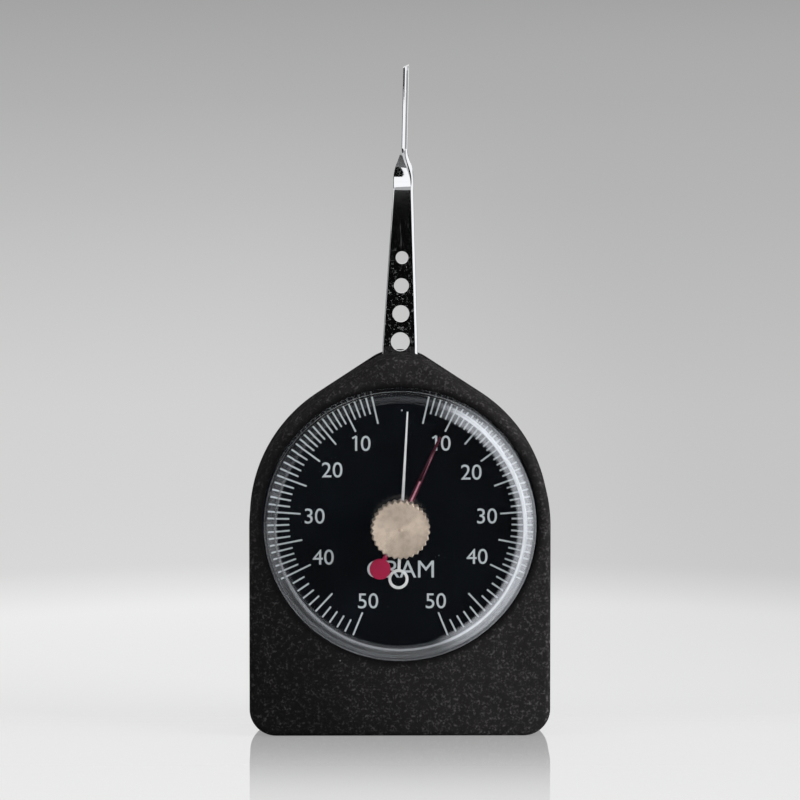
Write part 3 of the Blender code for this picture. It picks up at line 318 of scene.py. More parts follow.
class Finish:
    """A material under construction, with object coordinates in millimetres."""

    def __init__(self, name):
        self.material = bpy.data.materials.new(name)
        self.material.use_nodes = True
        self.tree = self.material.node_tree
        self.tree.nodes.clear()
        place = self.node("ShaderNodeTexCoord", output="Object")
        self.place = self.vector("SCALE", place, scale=1 / MM)

    def node(self, kind, settings=None, inputs=None, output=0):
        """Adds a node, with its settings first and then its sockets' values or links."""
        made = self.tree.nodes.new(kind)
        for name, value in (settings or {}).items():
            if name == "stops":
                self.set_stops(made.color_ramp, value)
            else:
                setattr(made, name, value)
        for name, value in (inputs or {}).items():
            socket = made.inputs[name]
            if isinstance(value, Socket):
                self.tree.links.new(value.output, socket)
            else:
                socket.default_value = value
        return Socket(self, made.outputs[output]) if made.outputs else None

    @staticmethod
    def set_stops(ramp, stops):
        while len(ramp.elements) < len(stops):
            ramp.elements.new(1.0)
        for element, (position, shade) in zip(ramp.elements, stops):
            element.position = position
            element.color = shade

    def vector(self, operation, first, second=None, scale=None, output=0):
        inputs = {0: first}
        if second is not None:
            inputs[1] = second
        if scale is not None:
            inputs["Scale"] = scale
        return self.node("ShaderNodeVectorMath", {"operation": operation}, inputs, output)

    def mapped(self, scale=(1, 1, 1), turn=(0, 0, 0), at=(0, 0, 0)):
        """Object coordinates in millimetres, moved by -at, turned and scaled."""
        moved = self.vector("SUBTRACT", self.place, at)
        return self.node(
            "ShaderNodeMapping", {}, {"Vector": moved, "Rotation": turn, "Scale": scale}
        )

    def length(self, place):
        return self.vector("LENGTH", place, output="Value")

    def across(self, direction, place):
        """How far a place lies along a direction."""
        return self.vector("DOT_PRODUCT", place, direction, output="Value")

    def noise(self, size, detail=2.0, roughness=0.5, place=None):
        """Soft noise from 0 to 1 whose features are about size millimetres across."""
        return self.node(
            "ShaderNodeTexNoise", {},
            {"Vector": place or self.place, "Scale": 1 / size, "Detail": detail,
             "Roughness": roughness},
        )

    def cells(self, size, feature="F1", output="Distance"):
        """Cells about size millimetres across, by distance from their middles or by colour."""
        inputs = {"Vector": self.place, "Scale": 1 / size}
        return self.node("ShaderNodeTexVoronoi", {"feature": feature}, inputs, output)

    def specks(self, size, radius, share):
        """1 on small round specks, which only a share of the cells holds."""
        distance = self.cells(size)
        pick = self.node(
            "ShaderNodeSeparateColor", {}, {"Color": self.cells(size, output="Color")}
        )
        near = 1 - distance.over(radius * 0.6, radius)
        return near * (1 - pick.over(share * 0.8, share))

    def mix(self, share, first, second):
        """A colour mixed from two by share."""
        return self.node(
            "ShaderNodeMix", {"data_type": "RGBA"},
            {0: share, 6: opaque(first), 7: opaque(second)}, output=2,
        )

    def bump(self, height, distance, strength):
        """The normals of a relief that is up to distance millimetres high."""
        inputs = {"Height": height, "Distance": distance * MM, "Strength": strength}
        return self.node("ShaderNodeBump", {}, inputs)

    def shader(self, **inputs):
        """The Principled shader, with underscores standing for the spaces in names."""
        named = {name.replace("_", " "): value for name, value in inputs.items()}
        for name in ("Base Color", "Emission Color"):
            if name in named:
                named[name] = opaque(named[name])
        return self.node("ShaderNodeBsdfPrincipled", {}, named)

    def done(self, surface):
        self.node("ShaderNodeOutputMaterial", {}, {"Surface": surface})
        return self.material


def opaque(colour):
    """A colour with its alpha, or a socket as it is."""
    return colour if isinstance(colour, Socket) or len(colour) == 4 else (*colour, 1.0)


# ---------------------------------------------------------------- finishes


def case_paint(colours):
    """Black wrinkle paint with its fine grey-brown sparkle and a few specks of dust, painted
    lighter towards the right and the top, with painted shade round the window.
    """
    finish = Finish("wrinkle_paint")
    grain = finish.noise(1.1, 3.0, 0.6)
    fine = finish.noise(0.5)
    cloud = finish.noise(6.0)
    wrinkle = finish.cells(0.7, "SMOOTH_F1")
    # Painted light: the paint grows lighter towards the right and the top, and its grain and specks
    # show more there.
    wear_and_painted_light = finish.across((1, 0, 0.45), finish.place).over(-26.0, 26.0)
    speckle = fine.over(0.42, 0.72) * grain.over(0.42, 0.64) * (0.2 + cloud)
    around = finish.length(finish.mapped((1, 0, 1), at=(0, 0, DIAL_CENTRE / MM)))
    light = (0.015 + 0.11 * wear_and_painted_light) * (0.5 + cloud) + speckle * (0.45 + 0.5 * wear_and_painted_light)
    behind = finish.across((0, 1, 0), finish.place).over(-6.0, 0.0)
    # Painted shade beside the crystal, on the case's front.
    painted_recess_shade = (1 - around.over(28.5, 30.0)) * (1 - behind)
    light = light * (1 - 0.9 * painted_recess_shade)
    dust = finish.specks(4.2, 0.06, 0.14)
    base = finish.mix(light, colours.case_paint, colours.case_grain)
    colour = finish.mix(dust * 0.8, base, colours.dust)
    height = grain * 0.6 + fine * 0.35 + wrinkle * 0.5
    rough = 0.46 + 0.2 * grain
    return finish.done(finish.shader(
        Base_Color=colour, Roughness=rough, Specular_IOR_Level=0.0,
        Normal=finish.bump(height, 0.2, 0.9),
    ))


def clear_acrylic(colours, sizes):
    """Clear acrylic that lets lamps through to the dial, clouded by scuffs round its shoulder, with
    painted light there: a pale band on the lit right side, paler on the left slope and at the foot,
    and a painted highlight inside the shoulder.
    """
    finish = Finish("clear_acrylic")
    smear = finish.noise(7.0, 3.0, 0.6)
    clear = finish.shader(
        Base_Color=(0.97, 0.98, 0.985), Roughness=0.01 + 0.02 * smear.over(0.5, 0.8),
        IOR=1.49, Transmission_Weight=1.0, Specular_Tint=(0.6, 0.62, 0.65, 1.0),
    )
    around = finish.mapped((1, 0, 1), at=(0, 0, DIAL_CENTRE / MM))
    radius = finish.length(around)
    right = finish.across((1, 0, 0), around) / radius
    up = finish.across((0, 0, 1), around) / radius
    scuffs = 0.4 + 1.2 * finish.noise(0.9, 3.0, 0.6)
    rim, start = sizes.crystal / MM, (sizes.crystal - sizes.haze_and_painted_light) / MM
    shoulder = radius.within(start, start + 0.8, rim - 1.1, rim - 0.8)
    slope = radius.within(25.8, 26.0, rim - 1.1, rim - 0.8)
    # Painted highlight: a thin bright ring inside the shoulder, brightest on the lit right side.
    painted_highlight_arc = (radius - 0.7 * up.over(0.5, 1.0)).within(25.2, 25.35, 25.65, 25.8)
    edge = radius.within(27.6, 27.7, 27.9, 28.0)
    # Sides by how light falls on the crystal: the lit right, the left and the foot.
    lit = right.over(0.25, 0.6)
    left = 1 - right.over(-0.98, -0.8)
    foot = 1 - up.over(-0.7, -0.1)
    # The white shader's share is painted light varied by scuffs: a pale band on the lit right side,
    # paler on the left slope and at the foot, a thin painted highlight inside the shoulder and a
    # lighter outer rim at the foot.
    share = scuffs * (
        shoulder * lit * 0.23 + slope * (0.01 + 0.05 * left - 0.02 * (lit + foot))
        + radius.over(24.5, 24.7) * foot * 0.03
    ) + painted_highlight_arc * (0.03 + 0.4 * lit + 0.15 * foot + 0.05 * left) + edge * (0.03 + 0.1 * foot)
    # White shader of scuffed plastic that also carries the painted light.
    haze_and_painted_light = finish.shader(
        Base_Color=colours.haze_and_painted_light, Roughness=0.5 + 0.1 * scuffs, Specular_IOR_Level=0.3
    )
    body = finish.node("ShaderNodeMixShader", {}, {0: share, 1: clear, 2: haze_and_painted_light})
    open_way = finish.node("ShaderNodeBsdfTransparent", {}, {"Color": (0.93, 0.94, 0.95, 1)})
    shadow = finish.node("ShaderNodeLightPath", output="Is Shadow Ray")
    return finish.done(finish.node(
        "ShaderNodeMixShader", {}, {0: shadow, 1: body, 2: open_way}
    ))


def dial_paint(colours):
    finish = Finish("dial_paint")
    grain = finish.noise(0.25, 2.0, 0.6)
    cloud = finish.noise(14.0)
    dust = finish.specks(2.6, 0.05, 0.22)
    base = finish.mix(cloud.over(0.3, 0.8), colours.dial, [c * 1.8 for c in colours.dial])
    return finish.done(finish.shader(
        Base_Color=finish.mix(dust * 0.7, base, colours.dust), Roughness=0.5 + 0.12 * grain,
        Specular_IOR_Level=0.06, Normal=finish.bump(grain, 0.02, 0.5),
    ))


def pointer_paint(name, colour, shade, gloss):
    """Thin paint on sheet metal, a little rubbed and mottled."""
    finish = Finish(name)
    cloud = finish.noise(1.6, 3.0, 0.6)
    fine = finish.noise(0.12)
    return finish.done(finish.shader(
        Base_Color=finish.mix(cloud.over(0.35, 0.75), colour, shade),
        Roughness=gloss + 0.12 * fine, Normal=finish.bump(fine, 0.01, 0.5),
    ))


def ridged_paint(name, colours, turn):
    """The drag pointer's paint: painted shade darkens the blade's sloping sides, and a painted
    highlight lies pale along the ridge, fading towards the tip.
    """
    finish = Finish(name)
    moved = finish.vector("SUBTRACT", finish.place, (0, 0, DIAL_CENTRE / MM))
    along = finish.across((math.sin(turn), 0, math.cos(turn)), moved)
    side = finish.across((math.cos(turn), 0, -math.sin(turn)), moved)
    blade = along.over(-7.5, -6.5)
    cloud = finish.noise(0.9, 3.0, 0.6)
    # Painted highlight along the ridge, mottled, fading towards the tip.
    ridge = (1 - side.maths("ABSOLUTE", side).over(0.08, 0.28)) * (0.6 + 0.5 * cloud)
    ridge = ridge * (1 - 0.95 * along.over(14.8, 17.0))
    # Painted shade: the blade takes a darker copy of the disc's crimson.
    shade = finish.mix(blade, colours.crimson, colours.crimson_side_shade)
    return finish.done(finish.shader(
        Base_Color=finish.mix(ridge * blade, shade, colours.crimson_ridge_highlight),
        Roughness=0.4 + 0.1 * cloud, Specular_IOR_Level=0.15,
        Normal=finish.bump(cloud, 0.01, 0.5),
    ))


def print_ink(colours):
    finish = Finish("scale_print")
    grain = finish.noise(0.14, 2.0, 0.6)
    thin = finish.noise(0.8)
    # Wear of the print alone here.
    wear_and_painted_light = grain.over(0.6, 0.85) * thin.over(0.4, 0.7)
    return finish.done(finish.shader(
        Base_Color=finish.mix(wear_and_painted_light * 0.35, colours.print, [c * 0.6 for c in colours.print]),
        Roughness=0.5 + 0.1 * grain,
    ))


def chrome(colours):
    """Polished chrome with a few fine scratches along and across the arm."""
    finish = Finish("polished_chrome")
    along = finish.noise(1.0, 4.0, 0.65, finish.mapped((9.0, 9.0, 0.22)))
    across = finish.noise(1.0, 3.0, 0.6, finish.mapped((0.35, 0.35, 7.0), (0, 0.9, 0)))
    low_part = 1 - finish.across((0, 0, 1), finish.place).over(88.0, 106.0)
    pits = finish.specks(0.7, 0.09, 0.4) * low_part
    scratch = along.over(0.62, 0.76) * 0.12 + across.over(0.66, 0.78) * 0.15 * low_part
    smudge = finish.noise(0.9, 4.0, 0.7).over(0.5, 0.72) * low_part
    return finish.done(finish.shader(
        Base_Color=finish.mix(pits * 0.6, colours.chrome, (0.9, 0.9, 0.92)),
        Metallic=1.0, Roughness=0.03 + 0.16 * scratch + 0.2 * smudge + 0.3 * pits,
        Normal=finish.bump(scratch + pits, 0.012, 0.6),
    ))


def turned_metal(name, colour, shade, centre, pitch, rough, depth=0.02):
    """Metal turned about an axis along y, with rings a pitch of millimetres apart."""
    finish = Finish(name)
    radius = finish.length(finish.mapped((1, 0, 1), at=[value / MM for value in centre]))
    wobble = finish.noise(2.5)
    phase = radius * (math.tau / pitch) + wobble * 2.0
    rings = phase.maths("SINE", phase)
    cloud = finish.noise(1.4, 3.0, 0.6)
    fine = finish.noise(0.1)
    return finish.done(finish.shader(
        Base_Color=finish.mix(cloud.over(0.35, 0.75), colour, shade), Metallic=1.0,
        Roughness=rough + 0.12 * fine + 0.05 * rings,
        Normal=finish.bump(rings * 0.5 + fine * 0.4, depth, 0.8),
    ))


def drawn_metal(name, colour, shade, rough):
    """Sheet, strip and rod with a faint grain along z and a cloudy tarnish."""
    finish = Finish(name)
    grain = finish.noise(1.0, 3.0, 0.6, finish.mapped((7.0, 7.0, 0.5)))
    cloud = finish.noise(2.6, 3.0, 0.6)
    return finish.done(finish.shader(
        Base_Color=finish.mix(cloud.over(0.35, 0.8), colour, shade), Metallic=1.0,
        Roughness=rough + 0.16 * grain, Normal=finish.bump(grain, 0.012, 0.6),
    ))


# ---------------------------------------------------------------- sizes and colours


def length(name, description, millimetres):
    return FloatProperty(
        name=name, description=description, default=millimetres * MM, min=0, unit="LENGTH",
        precision=5,
    )


def angle(name, description, degrees):
    return FloatProperty(
        name=name, description=description, default=math.radians(degrees), subtype="ANGLE"
    )


def colour(name, description, shade):
    return FloatVectorProperty(
        name=name, description=description, default=shade, min=0, max=1, size=3,
        subtype="COLOR",
    )


class GaugeSizes(bpy.types.PropertyGroup):
    """Sizes of the pieces that are drawn finer than in the frame"""

    head_drop: length("Head drop", "Middle of the round head, below the dial's middle", 0.5)
    apex: length("Apex radius", "Radius of the roof's rounded top", 10.0)
    corner: length("Base corner", "Radius of the case's lower corners", 5.5)
    edge: length("Case edge", "Radius of the case's front edge", 1.3)
    cover_edge: length("Cover edge", "Radius of the rear cover's edge", 0.7)
    wall: length("Case wall", "Thickness of the case's sides", 1.8)
    front_wall: length("Front wall", "Thickness of the case's front", 2.0)
    slot: length("Roof slot", "Half the width of the slot that the arm swings in", 6.18)
    slot_front: length("Slot's front", "Front of the slot, behind the case's middle", 3.9)
    boss: length("Boss radius", "Radius of the bosses that take the cover screws", 2.4)
    boss_bore: length("Boss bore", "Radius of the blind hole in a boss", 1.3)
    bore_end: length("Bore's end", "Bottom of a boss's hole, behind the case's middle", 2.2)
    crystal: length("Crystal radius", "Outer radius of the crystal's rim", 28.0)
    flange: length("Crystal flange", "Thickness of the flange behind the window", 1.0)
    crystal_wall: length("Crystal wall", "Thickness of the crystal's wall", 1.0)
    inner_edge: length("Inner edges", "Rounding at both ends of the slope inside", 0.3)
    inner_slope: length("Inner slope", "Width of the sloping shoulder inside", 1.3)
    spindle_hole: length("Spindle hole", "Radius of the hole in the crystal", 2.1)
    cover_head: length("Cover screw seat", "Radius of a cover screw's seat", 2.3)
    cover_shank: length("Cover screw hole", "Radius of a cover screw's hole", 1.3)
    cover_sink: length("Cover screw sink", "Depth of a cover screw's seat", 1.1)
    post_head: length("Post screw seat", "Radius of a post screw's seat", 2.0)
    post_shank: length("Post screw hole", "Radius of a post screw's hole", 1.1)
    post_sink: length("Post screw sink", "Depth of a post screw's seat", 1.0)
    dial_sheet: length("Dial thickness", "Thickness of the dial's sheet", 0.5)
    dial_hole: length("Dial hole", "Radius of the hole in the dial", 1.2)
    dial_foot: length("Dial foot", "Radius of the dial's feet", 0.6)
    foot_offset: length("Foot offset", "Dial's feet, from its middle", 9.0)
    ink: length("Ink", "Height of the print above the dial", 0.02)
    shoulder_edge: length("Shoulder's edges", "Rounding at both ends of the shoulder", 0.8)
    slope_width: length("Shoulder's width", "Width of the crystal's sloping shoulder", 1.6)
    pane: length("Crystal thickness", "Thickness of the crystal's front", 1.6)
    # Width of the band of scuffs and painted light round the crystal.
    haze_and_painted_light: length("Haze", "Width of the scuffed haze round the crystal", 4.2)
    mark_outer: length("Marks' outer radius", "Outer end of the scale's marks", 27.0)
    mark_foot: length("Low marks' radius", "Outer end of the marks from 41 g on", 25.7)
    mark_short: length("Short marks' radius", "Inner end of the marks for 1 g", 22.9)
    mark_long: length("Long marks' radius", "Inner end of the marks for 5 g", 20.6)
    mark_width: length("Mark width", "Width of one mark of the scale", 0.34)
    figure: length("Figure height", "Height of the scale's figures", 3.15)
    word: length("Word height", "Height of the word below the knob", 3.6)
    hub: length("Pointer hub", "Radius of the main pointer's hub", 1.7)
    hub_bore: length("Hub bore", "Radius of the main pointer's bore", 0.7)
    hub_step: length("Hub step", "Hub behind the main pointer's blade", 0.45)
    needle: length("Needle thickness", "Thickness of the main pointer's sheet", 0.3)
    needle_shift: length("Needle's shift", "Needle and ring, to the right of their axis", 0.3)
    needle_root: length("Needle root", "Width of the main pointer at its hub", 0.66)
    needle_tip: length("Needle tip", "Width of the main pointer at its tip", 0.34)
    needle_reach: length("Needle reach", "Length of the main pointer", 23.3)
    tail: length("Tail width", "Width of the main pointer's tail", 0.62)
    ring: length("Ring radius", "Outer radius of the main pointer's ring", 2.07)
    ring_band: length("Ring band", "Width of the ring's metal", 0.58)
    ring_drop: length("Ring drop", "Ring's middle, from the axis", 11.4)
    drag: length("Drag pointer thickness", "Thickness of the drag pointer", 0.45)
    drag_root: length("Drag root", "Width of the drag pointer at its hub", 1.45)
    drag_tip: length("Drag tip", "Width of the drag pointer at its tip", 0.45)
    drag_reach: length("Drag reach", "Length of the drag pointer", 20.0)
    drag_neck: length("Drag neck", "Width between the hub and the disc", 0.9)
    drag_hub: length("Drag hub", "Radius of the drag pointer's hub", 2.2)
    disc: length("Disc radius", "Radius of the drag pointer's disc", 2.15)
    disc_drop: length("Disc drop", "Disc's middle, from the axis", 9.95)
    fold: length("Fold", "Width of the drag pointer's sloping sides", 0.28)
    knob: length("Knob radius", "Radius over the knob's teeth", 6.1)
    knurl: length("Knurl depth", "Depth of the teeth round the knob", 0.4)
    knob_chamfer: length("Knob chamfer", "Bevel at both ends of the knob's teeth", 0.28)
    knob_cone: length("Knob cone", "Depth of the knob's turned, hollow face", 0.12)
    knob_bore: length("Knob bore", "Radius of the knob's blind bore", 1.1)
    knob_depth: length("Knob bore depth", "Depth of the knob's blind bore", 2.6)
    arm: length("Arm thickness", "Thickness of the feeler arm", 1.2)
    arm_edge: length("Arm edge", "Rounding of the arm's long edges", 0.2)
    arm_lit_edge: length("Arm's right edge", "Rounding of its front right edge", 0.6)
    arm_tail: length("Arm tail", "Arm below its pivot", 6.0)
    arm_width: length("Arm width", "Width of the arm in the case", 7.3)
    arm_neck: length("Arm neck", "Width of the arm at its twist", 4.2)
    arm_tip: length("Arm tip", "Width of the blade at its tip", 3.4)
    arm_taper: length("Taper's start", "Height above the pivot", 8.4)
    twist_start: length("Twist's start", "Height above the pivot", 40.8)
    twist_length: length("Twist's length", "Height that the twist takes", 8.8)
    arm_reach: length("Arm reach", "Height of the tip above the pivot", 66.7)
    tip_clip: length("Tip clip", "Slope across the arm's end", 0.6)
    hole_start: length("First hole", "Height above the pivot", 9.4)
    hole_pitch: length("Hole pitch", "Distance between the arm's holes", 5.82)
    hub_hole: length("Hub hole", "Radius of the arm's hole round its hub", 1.8)
    hub_boss: length("Hub boss", "Hub's boss behind the arm", 0.4)
    arm_screw: length("Arm screws", "Arm's screws, above and below the pivot", 3.2)
    screw_hole: length("Screw hole", "Radius of the arm's screw holes", 0.65)
    slope: angle("Shoulder's slope", "Fall of the crystal's sloping shoulder", 38)
    main_angle: angle("Main pointer", "Clockwise from the top", 3.1)
    drag_angle: angle("Drag pointer", "Clockwise from the top", 24.3)
    lean: angle("Arm's lean", "Clockwise from upright", 1.2)
    twist: angle("Arm's twist", "Turn of the blade against the arm", 90)
    teeth: IntProperty(
        name="Knob teeth", description="Teeth round the reset knob", default=30, min=8
    )


class GaugeColours(bpy.types.PropertyGroup):
    """Colours of the finishes"""

    case_paint: colour("Case paint", "Ground of the wrinkle paint", (0.006, 0.0058, 0.006))
    case_grain: colour("Case grain", "Light grains of the wrinkle paint", (0.1, 0.095, 0.096))
    dust: colour("Dust", "Specks of dust on the black paint", (0.3, 0.3, 0.3))
    dial: colour("Dial", "Ground of the dial", (0.0012, 0.002, 0.0034))
    print: colour("Print", "Marks and figures of the scale", (0.56, 0.6, 0.62))
    white: colour("White paint", "Main pointer", (0.8, 0.8, 0.8))
    crimson: colour("Crimson paint", "Drag pointer's disc", (0.4, 0.014, 0.062))
    # Painted shade: a darker copy of the crimson for the blade.
    crimson_side_shade: colour("Crimson sides", "Drag pointer's blade", (0.06, 0.003, 0.014))
    # Painted highlight along the blade's ridge.
    crimson_ridge_highlight: colour("Crimson ridge", "Worn ridge of the blade", (0.6, 0.27, 0.35))
    # Colour of the scuffs and of the painted light round the crystal.
    haze_and_painted_light: colour("Haze", "Scuffs round the crystal", (0.72, 0.75, 0.8))
    champagne: colour("Knob", "Pale nickel of the reset knob", (0.65, 0.545, 0.45))
    chrome: colour("Chrome", "Plating of the feeler arm", (0.8, 0.81, 0.83))
    steel: colour("Steel", "Screws, pins and shafts", (0.50, 0.50, 0.51))
    brass: colour("Brass", "Plates, wheels and posts", (0.60, 0.42, 0.17))
    bronze: colour("Bronze", "Springs, bushes and the washer", (0.50, 0.28, 0.12))


# ---------------------------------------------------------------- case


CASE_FRONT = low("front_case").y
CASE_REAR = high("front_case").y
COVER_REAR = high("rear_cover").y
CASE_HALF = high("front_case").x
ROOF_ANGLE = math.radians(33.2)
APEX_STEPS, CORNER_STEPS, EDGE_STEPS, COVER_EDGE_STEPS = 24, 14, 7, 4
WINDOW_BREAK = 0.25 * MM       # bevel round the window's front


def case_sheet(name, inset, level, head, sizes):
    """A flat sheet with the case's outline: round head, sloping roof and square foot."""
    half = CASE_HALF - inset
    shoulder = head + half * math.cos(ROOF_ANGLE)
    apex = head + half / math.cos(ROOF_ANGLE)

    def at_height(height):
        return lambda a, b: max(abs(a.z - height), abs(b.z - height)) < TOUCH

    deselect()
    bpy.ops.mesh.primitive_circle_add(
        vertices=ARC_STEPS, radius=half, fill_type="NGON",
        location=(0, level, head), rotation=(math.pi / 2, 0, 0),
    )
    sheet = taken(name)
    with edited(sheet):
        bpy.ops.mesh.bisect(
            plane_co=(0, 0, head), plane_no=(0, 0, 1), clear_inner=True, threshold=TOUCH
        )
        bpy.ops.mesh.select_all(action="SELECT")
        bpy.ops.mesh.bisect(
            plane_co=(0, 0, shoulder), plane_no=(0, 0, 1), clear_outer=True, threshold=TOUCH
        )
    with edited(sheet, edges=at_height(head)):
        extrude((0, 0, inset - head))
    with edited(sheet, edges=at_height(shoulder)):
        extrude((0, 0, apex - shoulder))
        bpy.ops.mesh.merge(type="CENTER")
    with edited(sheet):
        bpy.ops.mesh.dissolve_limited(angle_limit=math.radians(0.5))
    with edited(sheet, verts=lambda co: co.z > apex - TOUCH):
        bevel((sizes.apex - inset) * math.tan(ROOF_ANGLE), APEX_STEPS, "VERTICES")
    with edited(sheet, verts=lambda co: co.z < inset + TOUCH):
        bevel(sizes.corner - inset, CORNER_STEPS, "VERTICES")
    return sheet


def case_slab(name, inset, front, back, head, sizes):
    slab = case_sheet(name, inset, front, head, sizes)
    with edited(slab):
        extrude((0, back - front, 0))
    return closed(slab)


def round_rim(piece, level, radius, segments):
    """Rounds the edges that lie in one level along y."""
    with edited(piece, edges=lambda a, b: abs(a.y - level) < TOUCH and abs(b.y - level) < TOUCH):
        bevel(radius, segments)


def cone(name, back_radius, front_radius, back, front, at):
    """A cone along y whose wide end may be at the back."""
    deselect()
    bpy.ops.mesh.primitive_cone_add(
        vertices=HOLE_STEPS, radius1=back_radius, radius2=front_radius, depth=back - front,
        location=(at[0], (back + front) / 2, at[1]), rotation=(math.pi / 2, 0, 0),
    )
    return taken(name)


def screw_places(prefix, count):
    return [(middle(screw).x, middle(screw).z) for screw in numbered(prefix, count)]


class GAUGE_OT_case(bpy.types.Operator):
    """Makes the wrinkle-painted front case with its window, slot and screw bosses"""

    bl_idname = "gauge.case"
    bl_label = "Front case"

    def execute(self, context):
        sizes = context.scene.gauge_sizes
        head = DIAL_CENTRE - sizes.head_drop
        case = case_slab("case_shell", 0, CASE_FRONT, CASE_REAR, head, sizes)
        round_rim(case, CASE_FRONT, sizes.edge, EDGE_STEPS)
        inner = CASE_FRONT + sizes.front_wall
        dial = (0, DIAL_CENTRE)
        window = sizes.crystal + SEAT_GAP
        cut(
            case,
            case_slab("cavity", sizes.wall, inner, CASE_REAR + OVERRUN, DIAL_CENTRE, sizes),
            barrel("window", window, inner + OVERRUN, CASE_FRONT - OVERRUN, dial),
        )
        for place in screw_places("cover_screw", 4):
            front = low("front_plate").y if place[1] > DIAL_CENTRE else inner - sizes.wall / 2
            boss = barrel("boss", sizes.boss, CASE_REAR - SEAT_GAP, front, place, HOLE_STEPS)
            bore = barrel("bore", sizes.boss_bore, CASE_REAR, sizes.bore_end, place, HOLE_STEPS)
            weld(case, cut(boss, bore))
        cut(case, brick(
            "slot", (-sizes.slot, sizes.slot_front, PIVOT_HEIGHT),
            (sizes.slot, CASE_REAR + OVERRUN, high("front_case").z + OVERRUN),
        ))
        closed(case)
        with edited(case, edges=lambda a, b: all(
            abs(co.y - CASE_FRONT) < TOUCH
            and abs(math.hypot(co.x, co.z - DIAL_CENTRE) - window) < 2 * TOUCH
            for co in (a, b)
        )):
            bevel(WINDOW_BREAK, 2)
        even_normals(case)
        hand_over(case, case_paint(context.scene.gauge_colours), "case", "case_paint",
                  "front_case")
        return {"FINISHED"}


class GAUGE_OT_cover(bpy.types.Operator):
    """Makes the rear cover with its countersunk screw seats"""

    bl_idname = "gauge.cover"
    bl_label = "Rear cover"

    def execute(self, context):
        sizes = context.scene.gauge_sizes
        front = low("rear_cover").y
        head = DIAL_CENTRE - sizes.head_drop
        cover = case_slab("back_cover", 0, front, COVER_REAR, head, sizes)
        round_rim(cover, COVER_REAR, sizes.cover_edge, COVER_EDGE_STEPS)
        for prefix, count, seat, shank, depth in (
            ("cover_screw", 4, sizes.cover_head, sizes.cover_shank, sizes.cover_sink),
            ("post_screw", 3, sizes.post_head, sizes.post_shank, sizes.post_sink),
        ):
            bottom = COVER_REAR - depth
            top = bottom + seat - shank
            for place in screw_places(prefix, count):
                cut(
                    cover,
                    cone("seat", seat, shank, top, bottom, place),
                    barrel("mouth", seat, COVER_REAR + OVERRUN, top, place, HOLE_STEPS),
                    barrel("hole", shank, COVER_REAR, front - OVERRUN, place, HOLE_STEPS),
                )
        even_normals(closed(cover))
        hand_over(cover, case_paint(context.scene.gauge_colours), "case", "case_paint",
                  "rear_cover")
        return {"FINISHED"}


# ---------------------------------------------------------------- crystal and dial


def front_face(piece):
    level = min(vert.co.y for vert in piece.data.vertices)
    return lambda centre, normal: normal.y < -0.9 and centre.y < level + TOUCH


def back_face(piece):
    level = max(vert.co.y for vert in piece.data.vertices)
    return lambda centre, normal: normal.y > 0.9 and centre.y > level - TOUCH


def bore_through(piece, radius, at=(0, DIAL_CENTRE)):
    """Joins the small faces left at both ends of an axis into a bore."""
    with edited(piece, faces=lambda centre, normal: (
        math.hypot(centre.x - at[0], centre.z - at[1]) < radius / 2 and abs(normal.y) > 0.9
    )):
        bpy.ops.mesh.bridge_edge_loops()


def arc_steps(radius, count, start=0.0, end=math.pi / 2):
    """Inset and rise of the rings that round a shoulder, upright at 0 and flat at a right angle."""
    turns = [start + (end - start) * index / count for index in range(count + 1)]
    return [
        (radius * (math.cos(a) - math.cos(b)), radius * (math.sin(b) - math.sin(a)))
        for a, b in zip(turns, turns[1:])
    ]


def shoulder_steps(rounding, width, slope, count):
    """Rings of a sloping shoulder with rounded ends, then its whole width and its fall."""
    lean = math.pi / 2 - slope
    steps = [
        *arc_steps(rounding, count, 0, lean), (width, width * math.tan(slope)),
        *arc_steps(rounding, count, lean),
    ]
    return steps, sum(step[0] for step in steps), sum(step[1] for step in steps)


class GAUGE_OT_crystal(bpy.types.Operator):
    """Makes the clear crystal cup with its rounded shoulder"""

    bl_idname = "gauge.crystal"
    bl_label = "Crystal"

    def execute(self, context):
        sizes = context.scene.gauge_sizes
        flange = high("crystal").x
        back = high("crystal").y
        front = low("crystal").y
        lip = back - sizes.flange
        hole = sizes.spindle_hole
        crystal = barrel("crystal_cup", flange, back, lip, (0, DIAL_CENTRE))
        shoulder, width, drop = shoulder_steps(
            sizes.shoulder_edge, sizes.slope_width, sizes.slope, 8
        )
        with edited(crystal, faces=front_face(crystal)):
            step_in((flange - sizes.crystal, 0), (0, lip - front - drop), *shoulder,
                    (sizes.crystal - width - hole, 0))
        inner = sizes.crystal - sizes.crystal_wall
        hollow, width, drop = shoulder_steps(
            sizes.inner_edge, sizes.inner_slope, sizes.slope, 4
        )
        with edited(crystal, faces=back_face(crystal)):
            step_in((flange - inner, 0), (0, front + sizes.pane + drop - back),
                    *[(step, -rise) for step, rise in hollow], (inner - width - hole, 0))
        bore_through(crystal, hole)
        even_normals(closed(crystal))
        hand_over(crystal, clear_acrylic(context.scene.gauge_colours, sizes), "case",
                  "clear_acrylic", "crystal")
        return {"FINISHED"}


